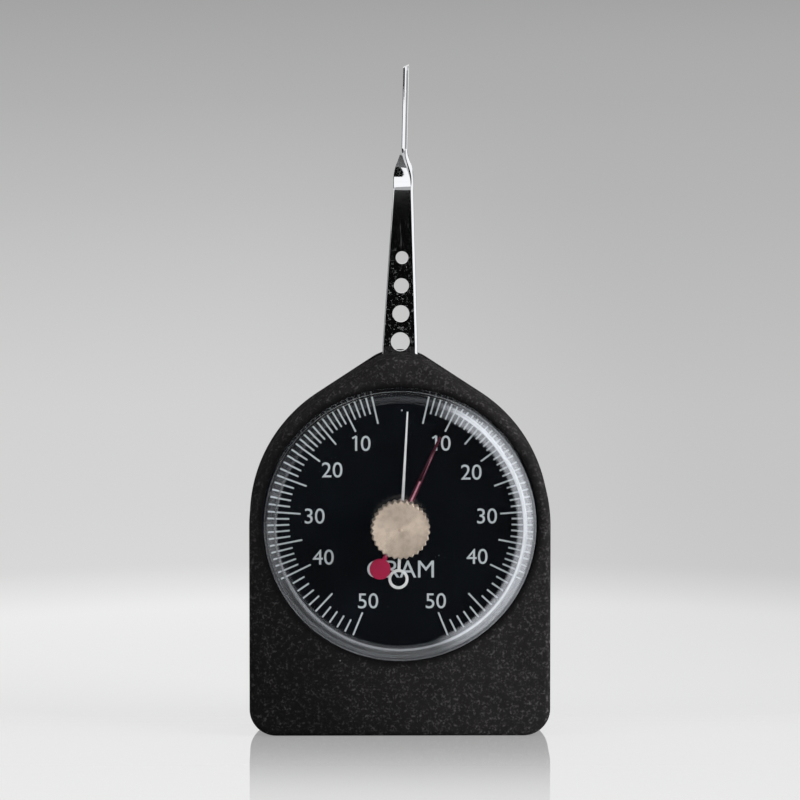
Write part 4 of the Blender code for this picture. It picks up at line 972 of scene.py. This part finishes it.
SCALE_ANGLES = {               # grams: degrees from the top, to each side
    5: 12.9, 10: 26.5, 15: 39.95, 20: 53.4, 25: 69.6, 30: 86.0, 35: 101.1, 40: 116.2,
    45: 137.1, 50: 157.7,
}
FIGURES = (                    # text, x and z in millimetres from the dial's middle
    ("10", -7.62, 16.48), ("10", 8.84, 16.51), ("20", -13.93, 11.0), ("20", 14.7, 10.5),
    ("30", -17.53, 1.43), ("30", 17.95, 1.4), ("40", -15.78, -7.1), ("40", 15.9, -7.0),
    ("50", -6.54, -16.2), ("50", 7.43, -16.2),
)
WORD = ("GRAM", 0.15, -9.6)
ZERO_DOT = (0.42, 23.32)       # millimetres from the dial's middle
MARKS_SHIFT = (0.12, 0.45)     # of the ring of marks, in millimetres to the right and up
TEXT_STEPS = 6                 # on each curve of a figure
TIGHT_SPACING = 0.88           # between the figures of a ten
FLAG_TURN = math.radians(-32)  # of the stroke at the head of a one


def mark_angle(grams):
    """Where a mark stands between the ones that are numbered."""
    below = grams // 5 * 5
    if below == grams:
        return math.radians(SCALE_ANGLES[grams])
    share = (grams - below) / 5
    start, end = SCALE_ANGLES[below], SCALE_ANGLES[below + 5]
    return math.radians(start + (end - start) * share)


class GAUGE_OT_dial(bpy.types.Operator):
    """Makes the dial and the printed scale on it"""

    bl_idname = "gauge.dial"
    bl_label = "Dial and scale"

    def execute(self, context):
        self.make_plate(context)
        self.make_marks(context)
        self.make_figures(context)
        return {"FINISHED"}

    def make_plate(self, context):
        sizes = context.scene.gauge_sizes
        radius = high("dial_plate").x
        front = low("dial_plate").y
        back = front + sizes.dial_sheet
        edge = 0.08 * MM
        hole = sizes.dial_hole
        dial = barrel("dial_face", radius, back - edge, front + edge, (0, DIAL_CENTRE))
        for pick in (front_face(dial), back_face(dial)):
            with edited(dial, faces=pick):
                step_in((edge, edge), (radius - edge - hole, 0))
        bore_through(dial, hole)
        feet = [
            barrel("foot", sizes.dial_foot, high("dial_plate").y, (front + back) / 2,
                   (side * sizes.foot_offset, DIAL_CENTRE), HOLE_STEPS)
            for side in (-1, 1)
        ]
        weld(dial, *feet)
        closed(dial)
        hand_over(dial, dial_paint(context.scene.gauge_colours), "case", "dial_paint",
                  "dial_plate")

    @staticmethod
    def make_mark(sizes, inner, outer):
        """One upright mark over the top of the dial, with its corners just rounded."""
        half = sizes.mark_width / 2
        face = low("dial_plate").y
        mark = brick(
            "mark", (-half, face - sizes.ink, inner), (half, face + sizes.ink / 2, outer)
        )
        with edited(mark, edges=lambda a, b: abs(a.y - b.y) > sizes.ink):
            bevel(half * 0.3, 2)
        return mark

    def make_marks(self, context):
        sizes = context.scene.gauge_sizes
        across, up = (value * MM for value in MARKS_SHIFT)
        rise = Matrix.Translation((across, 0, DIAL_CENTRE + up))
        groups = []
        for inner, outer, chosen in (
            (sizes.mark_long, sizes.mark_outer, range(5, 41, 5)),
            (sizes.mark_long, sizes.mark_foot, (45, 50)),
            (sizes.mark_short, sizes.mark_outer, [g for g in range(6, 40) if g % 5]),
            (sizes.mark_short, sizes.mark_foot, [g for g in range(41, 50) if g != 45]),
        ):
            places = [
                rise @ Matrix.Rotation(side * mark_angle(grams), 4, "Y")
                for grams in chosen for side in (-1, 1)
            ]
            mark = self.make_mark(sizes, inner, outer)
            groups += copies(mark, places[1:])
            mark.data.transform(places[0])
        marks = closed(joined("scale_marks", groups))
        hand_over(marks, print_ink(context.scene.gauge_colours), "case", "white_paint")

    def make_figures(self, context):
        sizes = context.scene.gauge_sizes
        made = [
            self.make_text(text, x * MM, z * MM, sizes.figure, sizes)
            for text, x, z in FIGURES
        ]
        text, x, z = WORD
        made.append(self.make_text(text, x * MM, z * MM, sizes.word, sizes))
        face = low("dial_plate").y
        dot = barrel("dot", sizes.mark_width * 0.5, face, face - sizes.ink,
                     (ZERO_DOT[0] * MM, DIAL_CENTRE + ZERO_DOT[1] * MM), HOLE_STEPS // 2)
        with edited(dot, faces=front_face(dot)):
            step_in((sizes.mark_width / 8, 0))
        figures = closed(joined("scale_figures", [*made, dot]))
        hand_over(figures, print_ink(context.scene.gauge_colours), "case", "white_paint")

    def make_text(self, text, x, z, height, sizes):
        """Text that stands on the dial, centred on a place and given its height."""
        deselect()
        bpy.ops.object.text_add(rotation=(math.pi / 2, 0, 0))
        lettering = bpy.context.active_object
        lettering.data.body = text
        lettering.data.extrude = sizes.ink / 2
        lettering.data.resolution_u = TEXT_STEPS
        lettering.data.space_character = TIGHT_SPACING if text == "10" else 1.0
        bpy.ops.object.convert(target="MESH")
        shape = taken(text)
        corners = [vert.co for vert in shape.data.vertices]
        lowest = Vector([min(co[axis] for co in corners) for axis in range(3)])
        highest = Vector([max(co[axis] for co in corners) for axis in range(3)])
        scale = height / (highest.z - lowest.z)
        centre = (lowest + highest) / 2
        face = low("dial_plate").y - sizes.ink / 2
        shape.data.transform(
            Matrix.Translation((x, face, DIAL_CENTRE + z))
            @ Matrix.Diagonal((scale, 1, scale, 1)) @ Matrix.Translation(-centre)
        )
        if text.startswith("1"):
            self.add_flag(shape, height, sizes)
        return shape

    @staticmethod
    def add_flag(shape, height, sizes):
        """Joins the short sloping stroke at the head of a figure one to its stem."""
        stem = min(vert.co.x for vert in shape.data.vertices)
        top = max(vert.co.z for vert in shape.data.vertices)
        face = low("dial_plate").y
        flag = brick("flag", (-height * 0.24, face - sizes.ink, -height * 0.11),
                     (height * 0.05, face + sizes.ink / 2, 0))
        settle(flag, (stem, 0, top), FLAG_TURN)
        only(shape, flag)
        bpy.ops.object.join()


# ---------------------------------------------------------------- pointers and knob


def tapered_blade(name, widths, thickness, bottom, top):
    """A flat blade up the z axis, about y = 0, whose top is narrower."""
    root, tip = widths
    half = thickness / 2
    blade = brick(name, (-root / 2, -half, bottom), (root / 2, half, top))
    with edited(blade, verts=lambda co: co.z > top - TOUCH):
        bpy.ops.transform.resize(value=(tip / root, 1, 1), center_override=(0, 0, top))
    return blade


def round_long_edges(piece, reach, radius, segments, pick=lambda a, b: True):
    with edited(piece, edges=lambda a, b: abs(a.z - b.z) > reach and pick(a, b)):
        bevel(radius, segments)


def bevelled_barrel(name, radius, half, edge, at=(0, 0), bore=0.0):
    """A short round piece about y = 0 with bevelled rims and an optional bore."""
    piece = barrel(name, radius, half - edge, edge - half, at)
    for pick in (front_face(piece), back_face(piece)):
        with edited(piece, faces=pick):
            step_in((edge * 0.4, edge * 0.7), (edge * 0.6, edge * 0.3))
            if bore:
                step_in((radius - edge - bore, 0))
    if bore:
        bore_through(piece, bore, at)
    return piece


def pointer(parts, bore, level, turn):
    """Welds a pointer's parts, bores it and turns it to its reading on the dial's axis."""
    needle = weld(*parts)
    closed(cut(needle, barrel("bore", bore, OVERRUN, -OVERRUN, steps=HOLE_STEPS)))
    return even_normals(settle(needle, (0, level, DIAL_CENTRE), turn))


class GAUGE_OT_pointers(bpy.types.Operator):
    """Makes the white main pointer and the crimson drag pointer"""

    bl_idname = "gauge.pointers"
    bl_label = "Pointers"

    def execute(self, context):
        sizes = context.scene.gauge_sizes
        colours = context.scene.gauge_colours
        self.make_main(sizes, colours)
        self.make_drag(sizes, colours)
        return {"FINISHED"}

    def make_main(self, sizes, colours):
        back = high("main_pointer").y
        front = low("main_pointer").y
        sheet = back - sizes.hub_step - sizes.needle / 2
        half = sizes.needle / 2
        needle = tapered_blade(
            "main_needle", (sizes.needle_root, sizes.needle_tip), sizes.needle, 0,
            sizes.needle_reach,
        )
        round_long_edges(needle, sizes.needle_reach / 2, half * 0.5, 2, lambda a, b: a.y < 0)
        tail = tapered_blade(
            "tail", (sizes.tail, sizes.tail), sizes.needle,
            sizes.ring - sizes.ring_band / 2 - sizes.ring_drop, 0,
        )
        ring = bevelled_barrel(
            "ring", sizes.ring, half, half * 0.4, (0, -sizes.ring_drop),
            sizes.ring - sizes.ring_band,
        )
        for part in (needle, tail, ring):
            part.data.transform(Matrix.Translation((sizes.needle_shift, 0, 0)))
        hub = bevelled_barrel("hub", sizes.hub, (back - front) / 2, half * 0.8)
        hub.data.transform(Matrix.Translation((0, (back + front) / 2 - sheet, 0)))
        pointer((needle, tail, ring, hub), sizes.hub_bore, sheet, sizes.main_angle)
        finish = pointer_paint("white_paint", colours.white, (0.7, 0.7, 0.69), 0.38)
        hand_over(needle, finish, "pointer", "white_paint", "main_pointer")

    def make_drag(self, sizes, colours):
        back = high("drag_pointer").y
        front = low("drag_pointer").y
        sheet = (back + front) / 2
        half = sizes.drag / 2
        needle = tapered_blade(
            "drag_needle", (sizes.drag_root, sizes.drag_tip), sizes.drag, 0, sizes.drag_reach
        )
        round_long_edges(needle, sizes.drag_reach / 2, sizes.fold, 2, lambda a, b: a.y < 0)
        neck = tapered_blade(
            "neck", (sizes.drag_neck, sizes.drag_neck), sizes.drag, -sizes.disc_drop, 0
        )
        disc = bevelled_barrel("disc", sizes.disc, half, half * 0.5, (0, -sizes.disc_drop))
        hub = bevelled_barrel("hub", sizes.drag_hub, (back - front) / 2, half * 0.5)
        pointer((needle, neck, disc, hub), sizes.knob_bore, sheet, sizes.drag_angle)
        hand_over(needle, ridged_paint("crimson_paint", colours, sizes.drag_angle), "reset",
                  "red_paint", "drag_pointer")


FACE_RINGS = 9                 # turned rings on the knob's hollow face
KNURL_ANGLE = math.radians(20)


class GAUGE_OT_knob(bpy.types.Operator):
    """Makes the knurled reset knob with its turned and dished face"""

    bl_idname = "gauge.knob"
    bl_label = "Reset knob"

    def execute(self, context):
        sizes = context.scene.gauge_sizes
        back = high("reset_knob").y
        front = low("reset_knob").y
        chamfer = sizes.knob_chamfer
        radius = sizes.knob
        pitch = math.pi / sizes.teeth
        knob = barrel("knurled_knob", radius, back - chamfer, front + chamfer,
                      (0, DIAL_CENTRE), steps=2 * sizes.teeth)

        def valley(co):
            turn = math.atan2(co.x, co.z - DIAL_CENTRE)
            return round(turn / pitch) % 2 == 1

        shrink = (radius - sizes.knurl) / radius
        self.scale(knob, valley, shrink)
        for pick, level in ((front_face(knob), front), (back_face(knob), back)):
            with edited(knob, faces=pick):
                step_in((0, chamfer))
            self.scale(knob, lambda co: abs(co.y - level) < TOUCH, (radius - chamfer) / radius)
        face = radius - chamfer - sizes.knurl
        ring = face / (FACE_RINGS + 0.6)
        with edited(knob, faces=front_face(knob)):
            step_in((ring * 0.3, -chamfer * 0.2),
                    *[(ring, -sizes.knob_cone / FACE_RINGS)] * (FACE_RINGS - 1),
                    (ring * 0.6, 0), (0, sizes.knob_cone), (ring * 0.2, sizes.knob_cone * 0.6),
                    (ring * 0.2, sizes.knob_cone * 0.2))
        with edited(knob, faces=back_face(knob)):
            step_in((face - sizes.knob_bore, 0), (0, -sizes.knob_depth))
        closed(knob, KNURL_ANGLE)
        hand_over(
            knob,
            turned_metal("turned_nickel", context.scene.gauge_colours.champagne,
                         (0.53, 0.44, 0.36), (0, 0, DIAL_CENTRE), 0.12, 0.33, 0.03),
            "reset", "nickelled_brass", "reset_knob",
        )
        return {"FINISHED"}

    @staticmethod
    def scale(knob, pick, factor):
        """Scales what is picked about the dial's axis."""
        with edited(knob, verts=pick):
            bpy.ops.transform.resize(
                value=(factor, 1, factor), center_override=(0, 0, DIAL_CENTRE)
            )


# ---------------------------------------------------------------- feeler arm


HOLE_RADII = (1.95, 1.75, 1.55, 1.32)       # millimetres, from the lowest hole up
TWIST_STEPS = 28
TWIST_ANGLE = math.radians(30)              # sharpest bend that is smoothed


class GAUGE_OT_arm(bpy.types.Operator):
    """Makes the chromed feeler arm with its holes, quarter twist and blade"""

    bl_idname = "gauge.arm"
    bl_label = "Feeler arm"

    def execute(self, context):
        sizes = context.scene.gauge_sizes
        half = sizes.arm / 2
        arm = brick("feeler", (-sizes.arm_width / 2, -half, -sizes.arm_tail),
                    (sizes.arm_width / 2, half, sizes.arm_reach))
        round_long_edges(arm, sizes.arm_reach, sizes.arm_lit_edge, 5,
                         lambda a, b: a.x > 0 and a.y < 0)
        corner = sizes.arm_width / 2 + half - TOUCH
        round_long_edges(arm, sizes.arm_reach, sizes.arm_edge, 3,
                         lambda a, b: abs(a.x) + abs(a.y) > corner)
        for height in self.stations(sizes):
            with edited(arm):
                bpy.ops.mesh.bisect(plane_co=(0, 0, height), plane_no=(0, 0, 1), threshold=TOUCH)
        self.taper(arm, sizes)
        self.slope_tip(arm, sizes)
        holes = [
            (sizes.hole_start + index * sizes.hole_pitch, radius * MM)
            for index, radius in enumerate(HOLE_RADII)
        ]
        hidden = [(0, sizes.hub_hole), (sizes.arm_screw, sizes.screw_hole),
                  (-sizes.arm_screw, sizes.screw_hole)]
        for height, radius in holes + hidden:
            cut(arm, barrel("hole", radius, OVERRUN, -OVERRUN, (0, height), HOLE_STEPS * 2))
        self.twist(arm, sizes)
        closed(arm, TWIST_ANGLE)
        level = high("lever_hub").y - sizes.hub_boss - half
        settle(arm, (0, level, PIVOT_HEIGHT), sizes.lean)
        even_normals(arm)
        hand_over(arm, chrome(context.scene.gauge_colours), "lever", "chromed_steel",
                  "feeler_arm")
        return {"FINISHED"}

    @staticmethod
    def stations(sizes):
        """Heights at which the strip is cut across, so that it can bend there."""
        shares = [index / TWIST_STEPS for index in range(TWIST_STEPS + 1)]
        return [
            sizes.arm_taper, *(sizes.twist_start + sizes.twist_length * share for share in shares),
            sizes.arm_reach - 2 * sizes.tip_clip,
        ]

    @staticmethod
    def width(height, sizes):
        """The strip's width at a height above the pivot."""
        twist_end = sizes.twist_start + sizes.twist_length
        if height <= sizes.arm_taper:
            return sizes.arm_width
        if height <= sizes.twist_start:
            share = (height - sizes.arm_taper) / (sizes.twist_start - sizes.arm_taper)
            return sizes.arm_width + (sizes.arm_neck - sizes.arm_width) * share
        share = max(0, (height - twist_end) / (sizes.arm_reach - twist_end))
        return sizes.arm_neck + (sizes.arm_tip - sizes.arm_neck) * share

    @staticmethod
    def levels(arm):
        """Heights of the cross sections, counted in steps of TOUCH."""
        return sorted({round(vert.co.z / TOUCH) for vert in arm.data.vertices})

    def taper(self, arm, sizes):
        """Moves each side of the strip in to its width at each height."""
        for step in self.levels(arm):
            height = step * TOUCH
            shift = (sizes.arm_width - self.width(height, sizes)) / 2
            if shift < TOUCH / 10:
                continue
            for side in (-1, 1):
                with edited(arm, verts=lambda co: abs(co.z - height) < TOUCH and co.x * side > 0):
                    move((-side * shift, 0, 0))

    def slope_tip(self, arm, sizes):
        """Lowers the end of the arm towards its front, which the twist turns to the left."""
        top = sizes.arm_reach - TOUCH
        for step in sorted({round(v.co.y / TOUCH) for v in arm.data.vertices if v.co.z > top}):
            share = 0.5 - step * TOUCH / sizes.arm
            with edited(arm, verts=lambda co: co.z > top and abs(co.y - step * TOUCH) < TOUCH):
                move((0, 0, -sizes.tip_clip * share))

    def twist(self, arm, sizes):
        """Turns each cross section, so that the right edge comes forwards."""
        end = sizes.twist_start + sizes.twist_length - 2 * TOUCH
        for step in self.levels(arm):
            height = step * TOUCH
            share = (height - sizes.twist_start) / sizes.twist_length
            if 0 < share and height < end:
                angle = sizes.twist * share * share * (3 - 2 * share)
                self.turn(arm, lambda co: abs(co.z - height) < TOUCH, angle)
        self.turn(arm, lambda co: co.z > end, sizes.twist)

    @staticmethod
    def turn(arm, pick, angle):
        with edited(arm, verts=pick):
            bpy.ops.transform.rotate(value=angle, orient_axis="Z", center_override=(0, 0, 0))


# ---------------------------------------------------------------- movement


METAL_WEARERS = {
    "steel_on_dial_axis": ("knob_spindle", "pinion_arbor"),
    "steel_on_pivot": ("lever_staff",),
    "brass_on_dial_axis": ("knob_bearing", "hair_spring_collet"),
    "brass_on_pivot": ("lever_hub", "sector_gear", "main_spring_collet"),
    "bronze_on_dial_axis": ("friction_washer", "arbor_front_bush", "arbor_rear_bush"),
    "bronze_on_pivot": ("staff_front_bush", "staff_rear_bush"),
    "sheet_brass": (
        "front_plate", "rear_bridge", "main_spring_stud", "hair_spring_stud",
        *numbered("movement_post", 3), *numbered("bridge_pillar", 3),
    ),
    "screw_steel": (
        "arm_screw_upper", "arm_screw_lower", "stop_pin_left", "stop_pin_right",
        *numbered("bridge_screw", 3), *numbered("plate_screw", 3),
        *numbered("post_screw", 3), *numbered("cover_screw", 4),
    ),
    "spring_strip": ("main_spring", "hair_spring"),
}


class GAUGE_OT_movement(bpy.types.Operator):
    """Gives the frame's own pieces, inside and behind the case, their metals"""

    bl_idname = "gauge.movement"
    bl_label = "Movement and screws"

    def execute(self, context):
        colours = context.scene.gauge_colours
        finishes = {}
        for metal in ("steel", "brass", "bronze"):
            colour = getattr(colours, metal)
            for axis, height in (("dial_axis", DIAL_CENTRE), ("pivot", PIVOT_HEIGHT)):
                name = f"{metal}_on_{axis}"
                finishes[name] = turned_metal(
                    name, colour, [value * 0.82 for value in colour], (0, 0, height), 0.22, 0.24
                )
        for name, colour, rough in (
            ("sheet_brass", colours.brass, 0.26), ("screw_steel", colours.steel, 0.2),
            ("spring_strip", colours.bronze, 0.2),
        ):
            finishes[name] = drawn_metal(name, colour, [value * 0.8 for value in colour], rough)
        for finish, nodes in METAL_WEARERS.items():
            for node in nodes:
                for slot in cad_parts[node].material_slots:
                    slot.material = finishes[finish]
        return {"FINISHED"}


# ---------------------------------------------------------------- stage


FLOOR_GREYS = (                # distance from the origin in metres, grey of the painted falloff of light
    (0.19, 0.855), (0.225, 0.765), (0.26, 0.685), (0.376, 0.66), (0.6, 0.64), (0.888, 0.582),
    (1.256, 0.508), (1.75, 0.435), (2.5, 0.365),
)
# Grey of the world that only mirrors see, brighter than the light it gives: a painted reflection.
HORIZON_GREY = 0.82
CARDS = {                      # what only mirrors see, painting dark and bright reflections: finish and two corners in metres
    "front_card": ("black", (-0.08, -1.29, 0.001), (0.08, -0.095, 0.004)),
    "left_card": ("black", (-0.51, -0.58, 0.001), (-0.5, 0.07, 0.097)),
    "high_left_card": ("black", (-0.51, -0.58, 0.118), (-0.5, 0.07, 1.1)),
    "back_right_card": ("black", (0.5, 0.12, 0.1), (0.51, 1.2, 0.8)),
    "top_card": ("black", (-1.6, -1.4, 0.95), (1.6, -0.12, 0.952)),
    "back_left_card": ("grey", (-0.51, 0.07, 0.001), (-0.5, 1.6, 0.6)),
    "white_card": ("bright", (-0.35, -0.402, 0.0776), (-0.02, -0.4, 0.35)),
    "far_white_card": ("bright", (-0.8, -0.402, 0.079), (-0.35, -0.4, 0.118)),
    "left_white_card": ("bright", (-0.51, -0.38, 0.097), (-0.508, 0.3, 0.25)),
    "right_white_card": ("bright", (0.5, -0.5, 0.005), (0.502, 0.12, 0.55)),
    "right_card": ("bright", (0.12, -2.1, 0.001), (2.2, 0.1, 0.003)),
}
LAMPS = (                      # name, place and size in metres, power in watts
    ("right_box", (0.8, -0.3, 0.37), (0.6, 0.7), 9.5),
    ("left_box", (-0.8, -0.25, 0.37), (0.5, 0.7), 2.8),
    ("top_box", (0.0, 0.15, 0.9), (0.9, 0.5), 1.0),
)
LAMP_TARGET = (0, 0, 0.06)
SKY_GREY = 0.4                 # of the world, for light and for views past the floor
CAMERA_TARGET = (0, CASE_FRONT, 0.0698)
CAMERA_DISTANCE = 1.6
CAMERA_RISE, CAMERA_TURN = math.radians(6.5), math.radians(-0.6)
PIXEL_SIZE = 0.2051 * MM       # at the case's front
PICTURE_PIXELS = 800
SENSOR_WIDTH = 36              # of the camera, in millimetres
FLOOR_RADIUS = 6               # metres


def seen_rays(finish):
    """1 for rays that look at a thing, straight, in a mirror or through glass."""
    camera, glossy, clear = (
        finish.node("ShaderNodeLightPath", output=f"Is {kind} Ray")
        for kind in ("Camera", "Glossy", "Transmission")
    )
    return camera.maths("MAXIMUM", camera.maths("MAXIMUM", camera, glossy), clear)


def glow(finish, shade, strength=1.0):
    """A plain shade that no lamp changes."""
    return finish.shader(
        Base_Color=(0, 0, 0), Roughness=1.0, Specular_IOR_Level=0.0, Emission_Color=shade,
        Emission_Strength=strength,
    )


def floor_card():
    """White card whose painted light falls off with distance like a studio sweep, with painted
    shade towards the right behind the gauge, polished before the gauge.
    """
    finish = Finish("floor_card")
    reach = FLOOR_GREYS[-1][0]
    radius = finish.length(finish.mapped((MM, MM, 0)))
    right = finish.across((MM, 0, 0), finish.place)
    depth = finish.across((0, MM, 0), finish.place)
    grey = finish.node(
        "ShaderNodeValToRGB",
        {"stops": [(far / reach, (grey, grey, grey, 1)) for far, grey in FLOOR_GREYS]},
        {"Fac": radius / reach},
    )
    # Painted shade: the floor darker towards the right, behind the gauge.
    dim = right.over(-0.05, 0.1) * depth.over(-0.3, 0.26) * (1 - depth.over(0.6, 2.2))
    grey = finish.vector("SCALE", grey, scale=1 - 0.15 * dim)
    grain = finish.noise(40.0)
    card = finish.shader(
        Base_Color=(0.78, 0.78, 0.785), Roughness=0.85 + 0.05 * grain, Specular_IOR_Level=0.1
    )
    even = seen_rays(finish) * (0.75 + 0.25 * radius.over(0.08, 0.25))
    matt = finish.node("ShaderNodeMixShader", {}, {0: even, 1: card, 2: glow(finish, grey)})
    polish = finish.shader(
        Base_Color=(0.97, 0.97, 0.97), Metallic=1.0, Roughness=0.02 + 0.02 * grain
    )
    front = finish.across((0, -MM, 0), finish.place)
    near = front.over(-0.03, 0.0) * (1 - front.over(0.088, 0.096))
    near = near * (1 - radius.over(0.12, 0.2))
    gloss = (0.14 + 0.4 * (1 - front.over(0.008, 0.095))) * near
    return finish.done(finish.node(
        "ShaderNodeMixShader", {}, {0: gloss, 1: matt, 2: polish}
    ))


def dull_card(name, shade):
    finish = Finish(name)
    grain = finish.noise(3.0)
    return finish.done(finish.shader(
        Base_Color=(shade, shade, shade), Roughness=0.85 + 0.1 * grain, Specular_IOR_Level=0.0
    ))


def bright_card():
    """Glowing card that no lamp lights and only mirrors show: it paints bright reflections."""
    finish = Finish("white_card")
    cloud = finish.noise(60.0)
    return finish.done(glow(finish, finish.mix(cloud, (1.0, 1.0, 1.0), (0.92, 0.92, 0.92)), 1.2))


def lamp(name, place, size, power):
    """A rectangular soft lamp turned to what it lights."""
    deselect()
    bpy.ops.object.light_add(type="AREA", location=place)
    made = bpy.context.active_object
    made.name = name
    made.data.shape = "RECTANGLE"
    made.data.size, made.data.size_y = size
    made.data.energy = power
    aim = Vector(LAMP_TARGET) - Vector(place)
    made.rotation_euler = aim.to_track_quat("-Z", "Y").to_euler()
    made.data.name = name
    return made


class GAUGE_OT_stage(bpy.types.Operator):
    """Sets the floor, the cards that only mirrors see, the lamps and the camera"""

    bl_idname = "gauge.stage"
    bl_label = "Stage"

    def execute(self, context):
        self.make_sweep()
        self.make_lamps(context)
        self.make_camera(context)
        return {"FINISHED"}

    def make_sweep(self):
        deselect()
        bpy.ops.mesh.primitive_circle_add(vertices=96, radius=FLOOR_RADIUS, fill_type="NGON")
        floor = taken("studio_floor")
        floor.data.materials.append(floor_card())
        finishes = {
            "black": dull_card("black_card", 0.004), "grey": dull_card("grey_card", 0.16),
            "bright": bright_card(),
        }
        for name, (finish, lowest, highest) in CARDS.items():
            card = brick(name, lowest, highest)
            card.data.materials.append(finishes[finish])
            card.visible_camera = False
            card.visible_diffuse = False
            card.visible_shadow = False

    def make_lamps(self, context):
        for settings in LAMPS:
            lamp(*settings)
        world = bpy.data.worlds.new("studio")
        world.use_nodes = True
        context.scene.world = world
        nodes, links = world.node_tree.nodes, world.node_tree.links
        sky = nodes["Background"]
        sky.inputs["Strength"].default_value = SKY_GREY
        horizon = nodes.new("ShaderNodeBackground")
        horizon.inputs["Strength"].default_value = HORIZON_GREY
        for background in (sky, horizon):
            background.inputs["Color"].default_value = (1, 1, 1, 1)
        ray = nodes.new("ShaderNodeLightPath")
        mixed = nodes.new("ShaderNodeMixShader")
        links.new(ray.outputs["Is Glossy Ray"], mixed.inputs[0])
        links.new(sky.outputs[0], mixed.inputs[1])
        links.new(horizon.outputs[0], mixed.inputs[2])
        links.new(mixed.outputs[0], nodes["World Output"].inputs["Surface"])

    def make_camera(self, context):
        deselect()
        rise, turn = CAMERA_RISE, CAMERA_TURN
        offset = Vector((
            math.sin(turn) * math.cos(rise), -math.cos(turn) * math.cos(rise), math.sin(rise)
        ))
        place = Vector(CAMERA_TARGET) + offset * CAMERA_DISTANCE
        bpy.ops.object.camera_add(location=place)
        camera = context.active_object
        camera.name = "photo_camera"
        camera.rotation_euler = (-offset).to_track_quat("-Z", "Y").to_euler()
        camera.data.sensor_width = SENSOR_WIDTH
        camera.data.lens = SENSOR_WIDTH * CAMERA_DISTANCE / (PICTURE_PIXELS * PIXEL_SIZE)
        camera.data.clip_start = 0.01
        camera.data.clip_end = 20
        context.scene.camera = camera


class GAUGE_PT_panel(bpy.types.Panel):
    """Lists the gauge's pieces, sizes and colours"""

    bl_label = "Force gauge"
    bl_idname = "GAUGE_PT_panel"
    bl_space_type = "VIEW_3D"
    bl_region_type = "UI"
    bl_category = "Force gauge"

    def draw(self, context):
        column = self.layout.column()
        for operator in OPERATORS:
            column.operator(operator.bl_idname)
        for group in (context.scene.gauge_sizes, context.scene.gauge_colours):
            for name in group.__annotations__:
                column.prop(group, name)


OPERATORS = (
    GAUGE_OT_case, GAUGE_OT_cover, GAUGE_OT_crystal, GAUGE_OT_dial, GAUGE_OT_pointers,
    GAUGE_OT_knob, GAUGE_OT_arm, GAUGE_OT_movement, GAUGE_OT_stage,
)
CLASSES = (GaugeSizes, GaugeColours, *OPERATORS, GAUGE_PT_panel)


def register():
    for kind in CLASSES:
        bpy.utils.register_class(kind)
    bpy.types.Scene.gauge_sizes = PointerProperty(type=GaugeSizes)
    bpy.types.Scene.gauge_colours = PointerProperty(type=GaugeColours)


def unregister():
    del bpy.types.Scene.gauge_colours
    del bpy.types.Scene.gauge_sizes
    for kind in reversed(CLASSES):
        bpy.utils.unregister_class(kind)


def main():
    register()
    bpy.context.scene.view_settings.view_transform = "Standard"
    bpy.ops.gauge.case()
    bpy.ops.gauge.cover()
    bpy.ops.gauge.crystal()
    bpy.ops.gauge.dial()
    bpy.ops.gauge.pointers()
    bpy.ops.gauge.knob()
    bpy.ops.gauge.arm()
    bpy.ops.gauge.movement()
    bpy.ops.gauge.stage()


if __name__ == "__main__":
    main()
